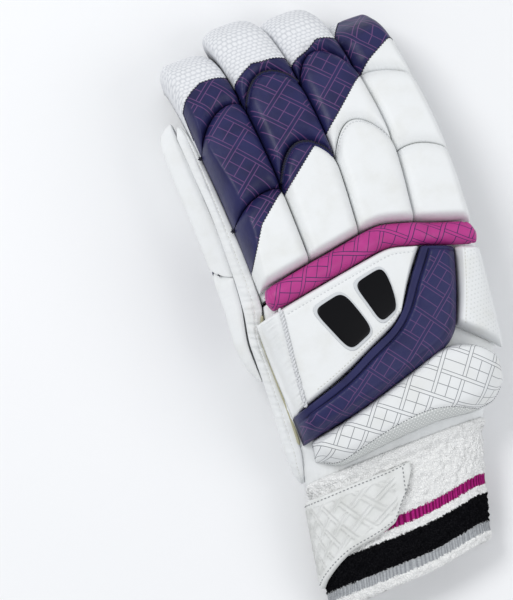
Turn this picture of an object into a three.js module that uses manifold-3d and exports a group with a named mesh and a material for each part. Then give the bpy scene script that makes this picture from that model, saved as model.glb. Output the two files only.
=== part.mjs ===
// A right-hand cricket batting glove lying palm down. Millimetres, +Z up, fingers along +Y, thumb at -X.
// The origin is on the floor, under the middle of the palm.
import * as THREE from "three";
import { mergeVertices } from "three/addons/utils/BufferGeometryUtils.js";
import Module from "manifold-3d";

const wasm = await Module();
wasm.setup();

// Driving dimensions
const LEATHER = 2; // wall of the palm and of the stalls
const KNIT = 3; // wall of the towelling cuff
const GAP = 0.4; // clearance between sewn pieces
const SEAT = 1.1; // clearance under a pad on the domed back of the hand
const FINGER_PITCH = 33; // from one finger to the next
const HAND_HALF = 2 * FINGER_PITCH; // half the width across the knuckles
const HAND_HEIGHT = 50; // top of the leather at the middle knuckles
const HAND_RISE = 8; // how much the thumb side lies higher than the middle
const WRIST_Y = -67; // where the leather ends and the cuff starts
const BACK_START = 5; // how far ahead of that end the pads on the back can start
const KNUCKLE_Y = 54; // foremost point of the knuckle line
const KNUCKLE_PEAK = 13; // its place across the hand
const KNUCKLE_FALL_THUMB = 14; // how far the line falls back at the thumb side
const KNUCKLE_FALL_LITTLE = 17; // and at the little finger
const ROLL_RADIUS = 7; // the piped roll over the knuckles
const STALL_HEIGHT = 24; // outside, palm to back
const STALL_HALF = 14; // half the width of a stall beyond its root
const FINGER_PAD = 20; // thickness of the finger pads
const TIP_PAD = 14; // the same in front of the fingertip
const TIP_CLEAR = 4; // height of the end of the tip pad
const TIP_WRAP = 97; // degrees that the tip pad turns down
const PANEL_PAD = 17; // thickness of the back panel
const CHEVRON_PAD = 19;
const SIDE_PAD = 17;
const WRIST_PAD = 15;
const PAD_RIM = 6; // height of a pad's edge before it rounds over
const CUFF_LENGTH = 62;
const CUFF_END_HALF = 50; // half the width of the open end
const CUFF_END_HEIGHT = 27; // lying
const CUFF_SHIFT = 15; // how far the open end lies towards the thumb
const STRAP = 2.4; // thickness of the rubber strap
const THUMB_START_Y = 2;
const THUMB_LENGTH = 160;
const THUMB_HALF = 20; // half the height of the thumb pads
const THUMB_PAD = 13; // their thickness
const THUMB_LEAN = 18; // degrees that the pads face down from the side, at their root
const THUMB_STALL = 8; // half the thickness of the empty thumb stall
const THUMB_STALL_HALF = 13; // half its height at the root
const BADGE = 1.6; // thickness of the raised bars
const PALM_FLAT = 1.5; // how far the round palm is pressed flat on the floor
const FINGER_PAD_HALF = FINGER_PITCH / 2 - GAP;
const FINGER_SKIRT = 3; // how far the finger pads reach down beside the stalls
const TIP_SEAT = 0.8; // clearance where a pad turns down over the fingertip
const STRAP_SEAT = 2 * GAP;
const CUFF_FLOOR = STRAP + STRAP_SEAT + GAP; // the cuff lies on its strap

// How finely the pieces are faceted
const HAND_POINTS = 28;
const CUFF_POINTS = 28;
const STALL_POINTS = 14;
const ROLL_POINTS = 10;
const HAND_STATIONS = [0, 0.12, 0.25, 0.4, 0.5, 0.6, 0.7, 0.8, 0.9, 1];
const STALL_STATIONS = [-0.1, 0.03, 0.16, 0.34, 0.52, 0.68, 0.8, 0.88, 0.95, 1];
const STALL_HOLLOW = [-0.1, 0.03, 0.16, 0.34, 0.52, 0.7, 0.84];
const THUMB_OUTSIDE = [0.02, 0.15, 0.3, 0.45, 0.6, 0.7, 0.8, 0.88];
const THUMB_HOLLOW = [0, 0.15, 0.3, 0.45, 0.6, 0.7, 0.82];
const CUFF_STATIONS = [0, 0.25, 0.5, 0.75, 1];
const ROLL_STATIONS = [0, 0.3, 0.6, 0.9, 0.97, 1];
const BADGE_STATIONS = [-1, -0.85, 0, 0.85, 1];
const PAD_STATIONS = [-1, -0.92, -0.66, -0.33, 0, 0.33, 0.66, 0.92, 1];
const PAD_MIDDLE = 0.78; // beyond it a pad rounds over and its stations are closer
const PAD_EDGE = 0.93;
const PAD_SPANS = 4; // along a finger pad, between its rounded ends
const STRAP_STEP = 12; // degrees round the cuff
const CURL_STEPS = 60;
const CURL_ROUNDS = 30; // in which a finger's length and curl are fitted

// How square the sections are: 2 is an ellipse, more has flatter sides
const STALL_SQUARE = 3;
const ROLL_SQUARE = 2.2;
const THUMB_SQUARE = 2.8;
const PAD_SQUARE = 4;
const PANEL_SQUARE = 5; // also the side pad's

// Shares of the sizes above, one row for each section
const HAND_SECTIONS = [
  { at: 0, centre: -0.35, half: 0.81, top: 0.72, squareness: 2.5 },
  { at: 0.22, centre: -0.22, half: 0.93, top: 0.84, squareness: 2.6 },
  { at: 0.5, centre: -0.12, half: 1.02, top: 0.94, squareness: 2.8 },
  { at: 0.78, centre: -0.05, half: 1.03, top: 0.99, squareness: 3.4 },
  { at: 1, centre: 0, half: 0.995, top: 1, squareness: 4.5 },
];
const PALM_LIFTS_AT = 0.64; // share of the hand's length where the palm leaves the floor
const FINGERS = [
  { name: "index", place: -1.5, reach: 157 },
  { name: "middle", place: -0.5, reach: 162 },
  { name: "ring", place: 0.5, reach: 153 },
  { name: "little", place: 1.5, reach: 147 },
];
// The creases between the pads, in shares of the finger's length: its ends fall back by the arch
const CREASES = [
  { finger: "index", middle: 0.332, arch: 0.03, skew: 0.035 },
  { finger: "index", middle: 0.66, arch: 0.05, skew: 0.06 },
  { finger: "middle", middle: 0.422, arch: 0.11, skew: 0.015 },
  { finger: "middle", middle: 0.691, arch: 0.09, skew: 0.01 },
  { finger: "ring", middle: 0.436, arch: 0.11, skew: -0.005 },
  { finger: "ring", middle: 0.725, arch: 0.1, skew: -0.008 },
  { finger: "little", middle: 0.357, arch: 0.03, skew: -0.03 },
  { finger: "little", middle: 0.67, arch: 0.02, skew: -0.035 },
];
// How far the five lines between and beside the fingers lean, in shares of the pitch
const SPLAY_REACH = 150; // from the roll to the last row
const SPLAY = [
  { at: 0, first: 0, second: 0, third: 0, fourth: 0, last: 0 },
  { at: 0.35, first: 0, second: 0.02, third: 0.12, fourth: 0.18, last: 0.1 },
  { at: 0.7, first: -0.06, second: -0.02, third: 0.05, fourth: 0.06, last: 0.02 },
  { at: 1, first: -0.14, second: -0.16, third: -0.18, fourth: -0.17, last: -0.16 },
];
// How much of the finger's curl is reached along it
const CURL = [
  { at: 0, turn: 0.1 },
  { at: 0.3, turn: 0.2 },
  { at: 0.6, turn: 0.6 },
  { at: 0.8, turn: 1 },
];
const FIRST_CURL = 30; // degrees, from which the curl is fitted
const TIP_START = 0.8; // share of a finger's length where the tip turns down
const TIP_NARROWS = 0.12; // share of its width that the tip pad loses at its end
const TIP_THINS = 0.35; // and of its thickness
const TIP_CLOSES = 0.9; // how much of the stall's height is gone at its tip
const STALL_WIDTHS = [
  { at: -0.1, half: 1.15 },
  { at: 0.03, half: 1.14 },
  { at: 0.16, half: 1 },
  { at: 0.8, half: 0.96 },
  { at: 0.93, half: 0.8 },
  { at: 1, half: 0.5 },
];
const SHOULDER = 0.93; // share of the hand's half width where its sides start
// How wide the roll is, at shares of its half length from its middle to its end
const ROLL_END = [
  { at: 0.9, width: 1 },
  { at: 0.97, width: 0.9 },
  { at: 1, width: 0.55 },
];
// Pads on the back, by two facing edges: u across in shares of HAND_HALF, v from their start to the roll
const PANEL = [
  { u1: -1.12, v1: 1, u2: -1.1, v2: 0.4 },
  { u1: -0.65, v1: 1, u2: -0.65, v2: 0.475 },
  { u1: -0.2, v1: 1, u2: -0.26, v2: 0.56 },
  { u1: 0.18, v1: 1, u2: 0, v2: 0.62 },
  { u1: 0.46, v1: 1, u2: 0.07, v2: 0.65 },
];
const CHEVRON = [
  { u1: 0.485, v1: 1, u2: 0.76, v2: 1 },
  { u1: 0.31, v1: 0.835, u2: 0.62, v2: 0.7 },
  { u1: 0.11, v1: 0.66, u2: 0.48, v2: 0.49 },
  { u1: -0.04, v1: 0.592, u2: 0.3, v2: 0.4 },
  { u1: -0.3, v1: 0.535, u2: -0.16, v2: 0.325 },
  { u1: -0.6, v1: 0.46, u2: -0.56, v2: 0.27 },
  { u1: -1.1, v1: 0.385, u2: -1.09, v2: 0.225 },
];
const SIDE = [
  { u1: 0.785, v1: 1, u2: 0.99, v2: 1 },
  { u1: 0.65, v1: 0.7, u2: 0.955, v2: 0.7 },
  { u1: 0.54, v1: 0.52, u2: 0.9, v2: 0.36 },
];
const WRIST = [
  { u1: -1.02, v1: 0.205, u2: -1.04, v2: 0.1 },
  { u1: -0.78, v1: 0.225, u2: -0.8, v2: 0.02 },
  { u1: -0.33, v1: 0.285, u2: -0.33, v2: 0.045 },
  { u1: 0.05, v1: 0.345, u2: 0.05, v2: 0.055 },
  { u1: 0.4, v1: 0.405, u2: 0.4, v2: 0.04 },
  { u1: 0.6, v1: 0.39, u2: 0.62, v2: 0.06 },
  { u1: 0.82, v1: 0.3, u2: 0.8, v2: 0.16 },
];
// The raised bars on the panel, in shares of the panel's length and width
const BADGE_MIDDLE = 0.06;
const BADGE_HALF = 0.72;
const BADGE_SLANT = 0.12;
const BADGES = [
  { from: -0.42, to: -0.04 },
  { from: 0.05, to: 0.5 },
];
// The strap round the cuff: turns are degrees round from the little finger side over the top
const STRAP_PATCH = [
  { turn: 86, low: 0.07, high: 0.14 },
  { turn: 95, low: 0.07, high: 0.55 },
  { turn: 128, low: 0.07, high: 0.66 },
  { turn: 160, low: 0.06, high: 0.8 },
  { turn: 180, low: 0.05, high: 0.86 },
  { turn: 206, low: 0.05, high: 0.86 },
];
const STRAP_TAB = [
  { turn: 209, low: 0.08, high: 0.8 },
  { turn: 246, low: 0.12, high: 0.76 },
  { turn: 258, low: 0.3, high: 0.62 },
];
const THUMB_SECTIONS = [
  { at: 0, half: 0.72, across: -1.15, lift: 0.44, lean: 1, thick: 0.35 },
  { at: 0.11, half: 0.92, across: -1.145, lift: 0.32, lean: 1, thick: 0.6 },
  { at: 0.29, half: 1, across: -1.07, lift: 0.26, lean: 0.9, thick: 0.88 },
  { at: 0.49, half: 1, across: -1.045, lift: 0.25, lean: 0.75, thick: 1 },
  { at: 0.7, half: 0.97, across: -1.065, lift: 0.25, lean: 0.6, thick: 0.97 },
  { at: 0.9, half: 0.86, across: -1.08, lift: 0.26, lean: 0.6, thick: 0.88 },
  { at: 1, half: 0.66, across: -1.09, lift: 0.35, lean: 0.6, thick: 0.62 },
];
const THUMB_JOINT = { middle: 0.48, arch: 0.1, skew: 0 };
const THUMB_NARROWS = 0.3; // how much of its height the tip pad loses at its end
// The empty thumb stall inside its pads: it hangs low beside them and narrows to its tip
const THUMB_STALL_SECTIONS = [
  { at: 0, low: 0.35, wide: 1, high: 1 },
  { at: 0.7, low: 0.49, wide: 1, high: 0.79 },
  { at: 0.8, low: 0.51, wide: 0.78, high: 0.59 },
  { at: 0.9, low: 0.53, wide: 0.55, high: 0.4 },
];

const RADIANS = Math.PI / 180;
const SAME_POINT = 1e-4; // points closer than this are one
const mix = (a, b, t) => a + (b - a) * t;
const clamp = (t) => Math.min(1, Math.max(0, t));
const smooth = (t) => clamp(t) ** 2 * (3 - 2 * clamp(t));
const bulge = (c, power) => Math.sign(c) * Math.abs(c) ** power;

// The value of a table's column at a place between its rows
function column(rows, key, at, by = "at") {
  const last = rows.length - 1;
  const next = rows.findIndex((row) => row[by] >= at);
  if (next === 0 || at <= rows[0][by]) return rows[0][key];
  if (next < 0) return rows[last][key];
  const [a, b] = [rows[next - 1], rows[next]];
  return mix(a[key], b[key], (at - a[by]) / (b[by] - a[by]));
}

// One oval section: `across` and `up` are its half axes, and a higher squareness gives flatter sides
function oval(centre, across, up, squareness, count) {
  return Array.from({ length: count }, (_, i) => {
    const turn = (2 * Math.PI * i) / count;
    return centre
      .clone()
      .addScaledVector(across, bulge(Math.cos(turn), 2 / squareness))
      .addScaledVector(up, bulge(Math.sin(turn), 2 / squareness));
  });
}

// A solid from a geometry that holds only positions, turned right side out
function solidOf(geometry) {
  const merged = mergeVertices(geometry, SAME_POINT);
  const vertProperties = merged.attributes.position.array;
  const make = (triVerts) => new wasm.Manifold(new wasm.Mesh({ numProp: 3, vertProperties, triVerts }));
  const index = new Uint32Array(merged.index.array);
  const made = make(index);
  return made.volume() > 0 ? made : make(index.map((_, i) => index[i - (i % 3) + [0, 2, 1][i % 3]]));
}

const solidThrough = (points, triangles) =>
  solidOf(new THREE.BufferGeometry().setFromPoints(points).setIndex(triangles.flat()));

// A solid through sections of equal count, capped at both ends or joined into a ring
function loft(sections, closed = false) {
  const count = sections[0].length;
  const points = sections.flat();
  const triangles = [];
  const spans = closed ? sections.length : sections.length - 1;
  for (let i = 0; i < spans; i++)
    for (let j = 0; j < count; j++) {
      const [a, b] = [i * count + j, i * count + ((j + 1) % count)];
      const [c, d] = [a, b].map((k) => (k + count) % points.length);
      triangles.push([a, b, c], [b, d, c]);
    }
  if (!closed)
    for (const [section, first, flip] of [
      [sections[0], 0, true],
      [sections.at(-1), points.length - count, false],
    ]) {
      const middle = section.reduce((sum, p) => sum.add(p), new THREE.Vector3()).divideScalar(count);
      const hub = points.push(middle) - 1;
      for (let j = 0; j < count; j++) {
        const [a, b] = [first + j, first + ((j + 1) % count)];
        triangles.push(flip ? [b, a, hub] : [a, b, hub]);
      }
    }
  return solidThrough(points, triangles);
}

// How high a stuffed pad is, p and q from -1 to 1 between its edges
function crown(p, q, rim, height, squareness) {
  const round = (t) => (1 - Math.abs(t) ** squareness) ** (1 / squareness);
  return mix(rim, height, round(p) * round(q));
}

// A stuffed pad: `place(p, q, h)` puts a point of the chart, p and q from -1 to 1, at height h
function stuffed(place, { p, q, height, rim = () => PAD_RIM, base, squareness = PAD_SQUARE }) {
  const top = p.map((a) =>
    q.map((b) => place(a, b, crown(a, b, rim(a, b), height(a, b), squareness))),
  );
  const bottom = p.map((a) => q.map((b) => place(a, b, base(a, b))));
  const points = [...top.flat(), ...bottom.flat()];
  const half = p.length * q.length;
  const id = (i, j, low) => i * q.length + j + (low ? half : 0);
  const triangles = [];
  const quad = (a, b, c, d) => triangles.push([a, b, c], [a, c, d]);
  for (let i = 0; i + 1 < p.length; i++)
    for (let j = 0; j + 1 < q.length; j++) {
      quad(id(i, j), id(i + 1, j), id(i + 1, j + 1), id(i, j + 1));
      quad(id(i, j, 1), id(i, j + 1, 1), id(i + 1, j + 1, 1), id(i + 1, j, 1));
    }
  for (let i = 0; i + 1 < p.length; i++)
    for (const [j, turn] of [[0, 0], [q.length - 1, 1]]) {
      const side = [id(i, j), id(i, j, 1), id(i + 1, j, 1), id(i + 1, j)];
      quad(...(turn ? side.reverse() : side));
    }
  for (let j = 0; j + 1 < q.length; j++)
    for (const [i, turn] of [[0, 1], [p.length - 1, 0]]) {
      const side = [id(i, j), id(i, j, 1), id(i, j + 1, 1), id(i, j + 1)];
      quad(...(turn ? side.reverse() : side));
    }
  return solidThrough(points, triangles);
}

// Stations along a pad, from -1 to 1
const padStations = (spans) => {
  const middle = Array.from({ length: spans + 1 }, (_, i) => mix(-PAD_MIDDLE, PAD_MIDDLE, i / spans));
  return [-1, -PAD_EDGE, ...middle, PAD_EDGE, 1];
};

function knuckleLine(x) {
  const across = (x - KNUCKLE_PEAK) / HAND_HALF;
  const side = across < 0 ? -1 - KNUCKLE_PEAK / HAND_HALF : 1 - KNUCKLE_PEAK / HAND_HALF;
  const fall = across < 0 ? KNUCKLE_FALL_THUMB : KNUCKLE_FALL_LITTLE;
  return KNUCKLE_Y - (fall * across) / side;
}

// The hand: its section at a share of its length, at a place across it
function handShape(x, at) {
  const rise = (-HAND_RISE * x) / HAND_HALF;
  const top = HAND_HEIGHT * column(HAND_SECTIONS, "top", at) + rise * smooth(at * 2);
  const floor = smooth((at - PALM_LIFTS_AT) / (1 - PALM_LIFTS_AT)) * (top - STALL_HEIGHT);
  const centre = HAND_HALF * column(HAND_SECTIONS, "centre", at);
  const [half, squareness] = ["half", "squareness"].map((key) => column(HAND_SECTIONS, key, at));
  return { top, floor, centre, half: HAND_HALF * half, squareness };
}

function handSection(at, grow, stretch = 0) {
  const { centre, half, squareness } = handShape(0, at);
  return Array.from({ length: HAND_POINTS }, (_, i) => {
    const turn = (2 * Math.PI * i) / HAND_POINTS;
    const x = centre + (half + grow) * bulge(Math.cos(turn), 2 / squareness);
    const { top, floor } = handShape(x, at);
    const up = bulge(Math.sin(turn), 2 / squareness);
    const reach = (top - floor) / 2 + grow + (up < 0 ? PALM_FLAT : 0);
    const z = Math.max((top + floor) / 2 + reach * up, floor - grow);
    return new THREE.Vector3(x, mix(WRIST_Y, knuckleLine(x), at) + stretch, z);
  });
}

const handSolid = (grow) => loft(HAND_STATIONS.map((at) => handSection(at, grow, at === 1 ? grow : 0)));

// The top of the leather over the back, carried on as a slope beyond its sides
function backHeight(x, y) {
  const at = clamp((y - WRIST_Y) / (knuckleLine(x) - WRIST_Y));
  const { top, floor, centre, half, squareness } = handShape(x, at);
  const across = Math.abs(x - centre) / half;
  const dome = (t) => (1 - t ** squareness) ** (1 / squareness);
  const slope = -(SHOULDER ** (squareness - 1)) * dome(SHOULDER) ** (1 - squareness);
  const share = across < SHOULDER ? dome(across) : dome(SHOULDER) + slope * (across - SHOULDER);
  return (top + floor) / 2 + ((top - floor) / 2) * share;
}

// A point over the back of the hand, from its chart
function backPoint(u, v, h) {
  const x = u * HAND_HALF;
  const y = mix(WRIST_Y + BACK_START, knuckleLine(x) - ROLL_RADIUS - GAP, v);
  return new THREE.Vector3(x, y, backHeight(x, y) + h);
}

function backPad(rows, thickness, squareness) {
  const place = (p, q, h) => {
    const at = ((p + 1) / 2) * (rows.length - 1);
    const i = Math.min(Math.floor(at), rows.length - 2);
    const side = (key) => mix(rows[i][key], rows[i + 1][key], at - i);
    const t = (q + 1) / 2;
    return backPoint(mix(side("u1"), side("u2"), t), mix(side("v1"), side("v2"), t), h);
  };
  const looks = { height: () => thickness, base: () => SEAT, squareness };
  const solid = stuffed(place, { p: padStations(rows.length * 2 - 2), q: PAD_STATIONS, ...looks });
  return { place, top: (p, q) => crown(p, q, PAD_RIM, thickness, squareness), solid };
}

// The back line of a finger: it curls until its tip pad ends just above the floor
function fingerLine({ place, reach }) {
  const x = place * FINGER_PITCH;
  const start = { y: knuckleLine(x), z: backHeight(x, knuckleLine(x)) };
  const walk = (length, curl) => {
    const headingAt = (s) =>
      s < TIP_START
        ? curl * column(CURL, "turn", s)
        : mix(curl, TIP_WRAP * RADIANS, (s - TIP_START) / (1 - TIP_START));
    const line = [{ s: 0, ...start, heading: headingAt(0) }];
    const step = length / CURL_STEPS;
    for (let i = 1; i <= CURL_STEPS; i++) {
      const heading = headingAt((i - 0.5) / CURL_STEPS);
      const last = line.at(-1);
      line.push({
        s: i / CURL_STEPS,
        y: last.y + Math.cos(heading) * step,
        z: last.z - Math.sin(heading) * step,
        heading: headingAt(i / CURL_STEPS),
      });
    }
    return line;
  };
  let [length, curl] = [reach, FIRST_CURL * RADIANS];
  let line = walk(length, curl);
  for (let round = 0; round < CURL_ROUNDS; round++) {
    length *= (reach - TIP_PAD) / (line.at(-1).y - start.y);
    curl *= ((start.z - TIP_CLEAR) / (start.z - line.at(-1).z)) ** 2;
    line = walk(length, curl);
  }
  const at = (s) => {
    const [y, z, heading] = ["y", "z", "heading"].map((key) => column(line, key, s, "s"));
    if (s >= 0) return { y, z, heading };
    return { y: y + s * length * Math.cos(heading), z: z - s * length * Math.sin(heading), heading };
  };
  return { x, length, at };
}

// How far a place ahead of the knuckles is shifted sideways, because the fingers spread and bend
function splay(x, y) {
  const lines = Object.keys(SPLAY[0]).slice(1);
  const at = Math.min(Math.max(x / FINGER_PITCH + 2, 0), lines.length - 1);
  const i = Math.min(Math.floor(at), lines.length - 2);
  const along = (y - knuckleLine(x) - ROLL_RADIUS) / SPLAY_REACH;
  const [a, b] = [lines[i], lines[i + 1]].map((key) => column(SPLAY, key, along));
  return FINGER_PITCH * mix(a, b, at - i);
}

// A point over a finger: s along it, `side` across in millimetres, h out from its back line
function fingerPoint(line, s, side, h) {
  const { y, z, heading } = line.at(s);
  const point = new THREE.Vector3(line.x + side, y + h * Math.sin(heading), z + h * Math.cos(heading));
  point.x += splay(point.x, point.y);
  return point;
}

function stallSection(line, s, wall) {
  const spot = (share, h) => {
    const { y, z, heading } = line.at(share);
    return new THREE.Vector3(line.x, y + h * Math.sin(heading), z + h * Math.cos(heading));
  };
  const back = spot(s, 0);
  const hinge = spot(Math.min(s, TIP_START), -STALL_HEIGHT);
  const palm = hinge.lerp(spot(1, 0), TIP_CLOSES * clamp((s - TIP_START) / (1 - TIP_START)));
  const up = back.clone().sub(palm).divideScalar(2);
  const centre = back.clone().sub(up);
  const half = STALL_HALF * column(STALL_WIDTHS, "half", s) - wall;
  up.setLength(up.length() - wall);
  const section = oval(centre, new THREE.Vector3(half, 0, 0), up, STALL_SQUARE, STALL_POINTS);
  return section.map((point) => point.setX(point.x + splay(point.x, point.y)));
}

function fingerStall(line) {
  const outside = STALL_STATIONS.map((s) => stallSection(line, s, 0)).reverse();
  const inside = STALL_HOLLOW.map((s) => stallSection(line, s, LEATHER));
  return loft([...outside, ...inside]);
}

// Everything behind the knuckle line, which the stalls are cut back to
function behindKnuckles() {
  const [wide, tall] = [4 * HAND_HALF, 4 * HAND_HEIGHT];
  const outline = new THREE.Shape();
  outline.moveTo(-wide, KNUCKLE_Y - 4 * HAND_HALF);
  outline.lineTo(wide, KNUCKLE_Y - 4 * HAND_HALF);
  for (const x of [wide, KNUCKLE_PEAK, -wide]) outline.lineTo(x, knuckleLine(x) + GAP);
  const block = new THREE.ExtrudeGeometry(outline, { depth: 2 * tall, bevelEnabled: false });
  return solidOf(block.translate(0, 0, -tall).deleteAttribute("normal").deleteAttribute("uv"));
}

function fingerPad(line, from, to) {
  const along = (p, q) => mix(from(q), to(q), (p + 1) / 2);
  const turned = (s) => clamp((s - TIP_START) / (1 - TIP_START));
  const place = (p, q, h) => {
    const s = along(p, q);
    const half = FINGER_PAD_HALF * (1 - TIP_NARROWS * turned(s) ** 2);
    return fingerPoint(line, s, q * half, h);
  };
  const height = (p, q) => {
    const beyond = 2 * turned(along(p, q));
    return mix(FINGER_PAD, TIP_PAD, smooth(beyond)) * (1 - TIP_THINS * smooth(beyond - 1));
  };
  const seat = (s) => (s > TIP_START - (1 - TIP_START) / 2 ? TIP_SEAT : GAP);
  const base = (p, q) => (Math.abs(q) === 1 ? -FINGER_SKIRT : seat(along(p, q)));
  return stuffed(place, { p: padStations(PAD_SPANS), q: PAD_STATIONS, height, base });
}

// The share along a finger or the thumb where a pad ends, or with shift 1 where the next one starts
const crease = ({ middle, arch, skew }, shift, length) => (q) =>
  middle - arch * q ** 2 + skew * q + (shift * GAP) / length;

function fingerPads(finger, line) {
  const root = (q) => {
    const ahead = knuckleLine(line.x + q * FINGER_PAD_HALF) + ROLL_RADIUS + GAP;
    return (ahead - knuckleLine(line.x)) / line.length;
  };
  const [low, high] = CREASES.filter((row) => row.finger === finger.name).map(
    (row) => (shift) => crease(row, shift, line.length),
  );
  return [
    ["base_pad", fingerPad(line, root, low(-1))],
    ["middle_pad", fingerPad(line, low(1), high(-1))],
    ["tip_pad", fingerPad(line, high(1), () => 1)],
  ];
}

function knuckleRoll(lines) {
  const half = HAND_HALF - 1;
  const shares = ROLL_STATIONS.flatMap((share) => [share, -share]);
  const xs = [...new Set([...shares.map((share) => share * half), KNUCKLE_PEAK])].sort((a, b) => a - b);
  const sections = xs.map((x) => {
    const radius = ROLL_RADIUS * column(ROLL_END, "width", Math.abs(x) / half);
    const y = knuckleLine(x);
    const near = lines.filter((line) => Math.abs(x - line.x) <= FINGER_PITCH / 2 + ROLL_RADIUS / 2);
    const rests = Math.max(backHeight(x, y - ROLL_RADIUS), ...near.map((line) => line.at(0).z));
    const centre = new THREE.Vector3(x, y, rests + ROLL_RADIUS + SEAT);
    const [ahead, up] = [new THREE.Vector3(0, radius, 0), new THREE.Vector3(0, 0, radius)];
    return oval(centre, ahead, up, ROLL_SQUARE, ROLL_POINTS);
  });
  return loft(sections);
}

// The cuff, a knitted tube that starts as wide as the leather, and what is wrapped round it
function cuffPoint(turn, at, h) {
  const { centre, half: wristHalf, top, squareness } = handShape(0, 0);
  const half = mix(wristHalf, CUFF_END_HALF, at) + h;
  const rise = mix(top - CUFF_FLOOR, CUFF_END_HEIGHT - CUFF_FLOOR, at) / 2;
  const x = centre - CUFF_SHIFT * at + half * bulge(Math.cos(turn), 2 / squareness);
  const z = CUFF_FLOOR + rise + (rise + h) * bulge(Math.sin(turn), 2 / squareness);
  return new THREE.Vector3(x, WRIST_Y - GAP - at * CUFF_LENGTH, z);
}

function cuff() {
  const turns = Array.from({ length: CUFF_POINTS }, (_, i) => (2 * Math.PI * i) / CUFF_POINTS);
  const section = (at, h) => turns.map((turn) => cuffPoint(turn, at, h));
  const outside = CUFF_STATIONS.map((at) => section(at, 0));
  return loft([...outside, ...CUFF_STATIONS.map((at) => section(at, -KNIT)).reverse()], true);
}

function strapPiece(rows) {
  const spans = rows.flatMap((row, i) => {
    if (i === rows.length - 1) return [row.turn];
    const steps = Math.ceil((rows[i + 1].turn - row.turn) / STRAP_STEP);
    return Array.from({ length: steps }, (_, k) => mix(row.turn, rows[i + 1].turn, k / steps));
  });
  const sections = spans.map((turn) => {
    const [low, high] = ["low", "high"].map((key) => column(rows, key, turn, "turn"));
    const corner = (at, h) => cuffPoint(turn * RADIANS, at, h);
    const ats = [0, 0.5, 1].map((t) => mix(low, high, t));
    const under = ats.map((at) => corner(at, STRAP_SEAT));
    return [...under, ...ats.reverse().map((at) => corner(at, STRAP_SEAT + STRAP))];
  });
  return loft(sections);
}

// The thumb: a chart of its pads' seat, t along it and q from the floor edge to the top edge
function thumbSeat(t) {
  const [half, across, lift, lean, thick] = ["half", "across", "lift", "lean", "thick"].map((key) =>
    column(THUMB_SECTIONS, key, t),
  );
  const angle = lean * THUMB_LEAN * RADIANS;
  const z = THUMB_HALF * (lift + half * Math.cos(angle));
  return {
    centre: new THREE.Vector3(across * HAND_HALF, THUMB_START_Y + t * THUMB_LENGTH, z),
    out: new THREE.Vector3(-Math.cos(angle), 0, -Math.sin(angle)),
    up: new THREE.Vector3(-Math.sin(angle), 0, Math.cos(angle)),
    half: half * THUMB_HALF,
    thick: thick * THUMB_PAD,
  };
}

function thumbPoint(t, q, h) {
  const seat = thumbSeat(t);
  return seat.centre.addScaledVector(seat.up, q * seat.half).addScaledVector(seat.out, h);
}

function thumbPad(from, to, tipped) {
  const along = (p, q) => mix(from(q), to(q), (p + 1) / 2);
  const place = (p, q, h) => {
    const narrow = tipped && p > 0.5 ? 1 - THUMB_NARROWS * (2 * p - 1) ** 3 : 1;
    return thumbPoint(along(p, q), q * narrow, h);
  };
  const thickness = (p, q) => thumbSeat(along(p, q)).thick;
  return stuffed(place, {
    p: padStations(PAD_SPANS),
    q: PAD_STATIONS,
    height: thickness,
    rim: (p, q) => thickness(p, q) / 2,
    base: () => 0,
  }).subtract(handSolid(GAP));
}

function thumbStallSection(t, wall) {
  const [low, wide, high] = ["low", "wide", "high"].map((key) => column(THUMB_STALL_SECTIONS, key, t));
  const seat = thumbSeat(t);
  const down = seat.centre.addScaledVector(seat.up, -low * THUMB_HALF);
  const centre = down.addScaledVector(seat.out, -THUMB_STALL - SEAT);
  const across = seat.out.multiplyScalar(THUMB_STALL * wide - wall);
  const up = seat.up.multiplyScalar(THUMB_STALL_HALF * high - wall);
  return oval(centre, across, up, THUMB_SQUARE, STALL_POINTS);
}

const thumbOutside = () => loft(THUMB_OUTSIDE.map((t) => thumbStallSection(t, 0)));
const thumbHollow = () => loft(THUMB_HOLLOW.map((t) => thumbStallSection(t, LEATHER)));

function handShell() {
  const outside = HAND_STATIONS.map((at) => handSection(at, 0));
  const inside = HAND_STATIONS.map((at) => handSection(at, -LEATHER)).reverse();
  return loft([...outside, ...inside], true).subtract(thumbHollow());
}

// The thumb stall, dented where the index finger lies over it
function thumbStall(index) {
  const indexFinger = (grow) => loft(STALL_STATIONS.map((s) => stallSection(index, s, -grow)).reverse());
  const outside = thumbOutside().subtract(indexFinger(GAP));
  return outside.subtract(thumbHollow().subtract(indexFinger(GAP + LEATHER))).subtract(handSolid(GAP));
}

// A raised bar that slants across the panel
function badge(panel, { from, to }) {
  const place = (p, q, h) => {
    const along = mix(from, to, (p + 1) / 2) + BADGE_SLANT * q;
    const across = BADGE_MIDDLE + BADGE_HALF * q;
    return panel.place(along, across, panel.top(along, across) + GAP + h);
  };
  return stuffed(place, {
    p: BADGE_STATIONS,
    q: BADGE_STATIONS,
    height: () => BADGE,
    rim: () => BADGE / 2,
    base: () => 0,
  });
}

const FINISHES = {
  white_leather: { color: 0xe9eae6, roughness: 0.5 },
  navy_leather: { color: 0x20204f, roughness: 0.42 },
  pink_leather: { color: 0xc9479c, roughness: 0.42 },
  white_mesh: { color: 0xe4e7ec, roughness: 0.75 },
  perforated: { color: 0xd9dcd8, roughness: 0.55 },
  towelling: { color: 0xe2e4e1, roughness: 0.95 },
  rubber: { color: 0xe3e1da, roughness: 0.45 },
  black_rubber: { color: 0x121212, roughness: 0.35 },
};

const glove = new THREE.Group();
const material = (look) => new THREE.MeshStandardMaterial({ ...look, metalness: 0 });
const materials = Object.fromEntries(
  Object.entries(FINISHES).map(([name, look]) => [name, material(look)]),
);

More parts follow.
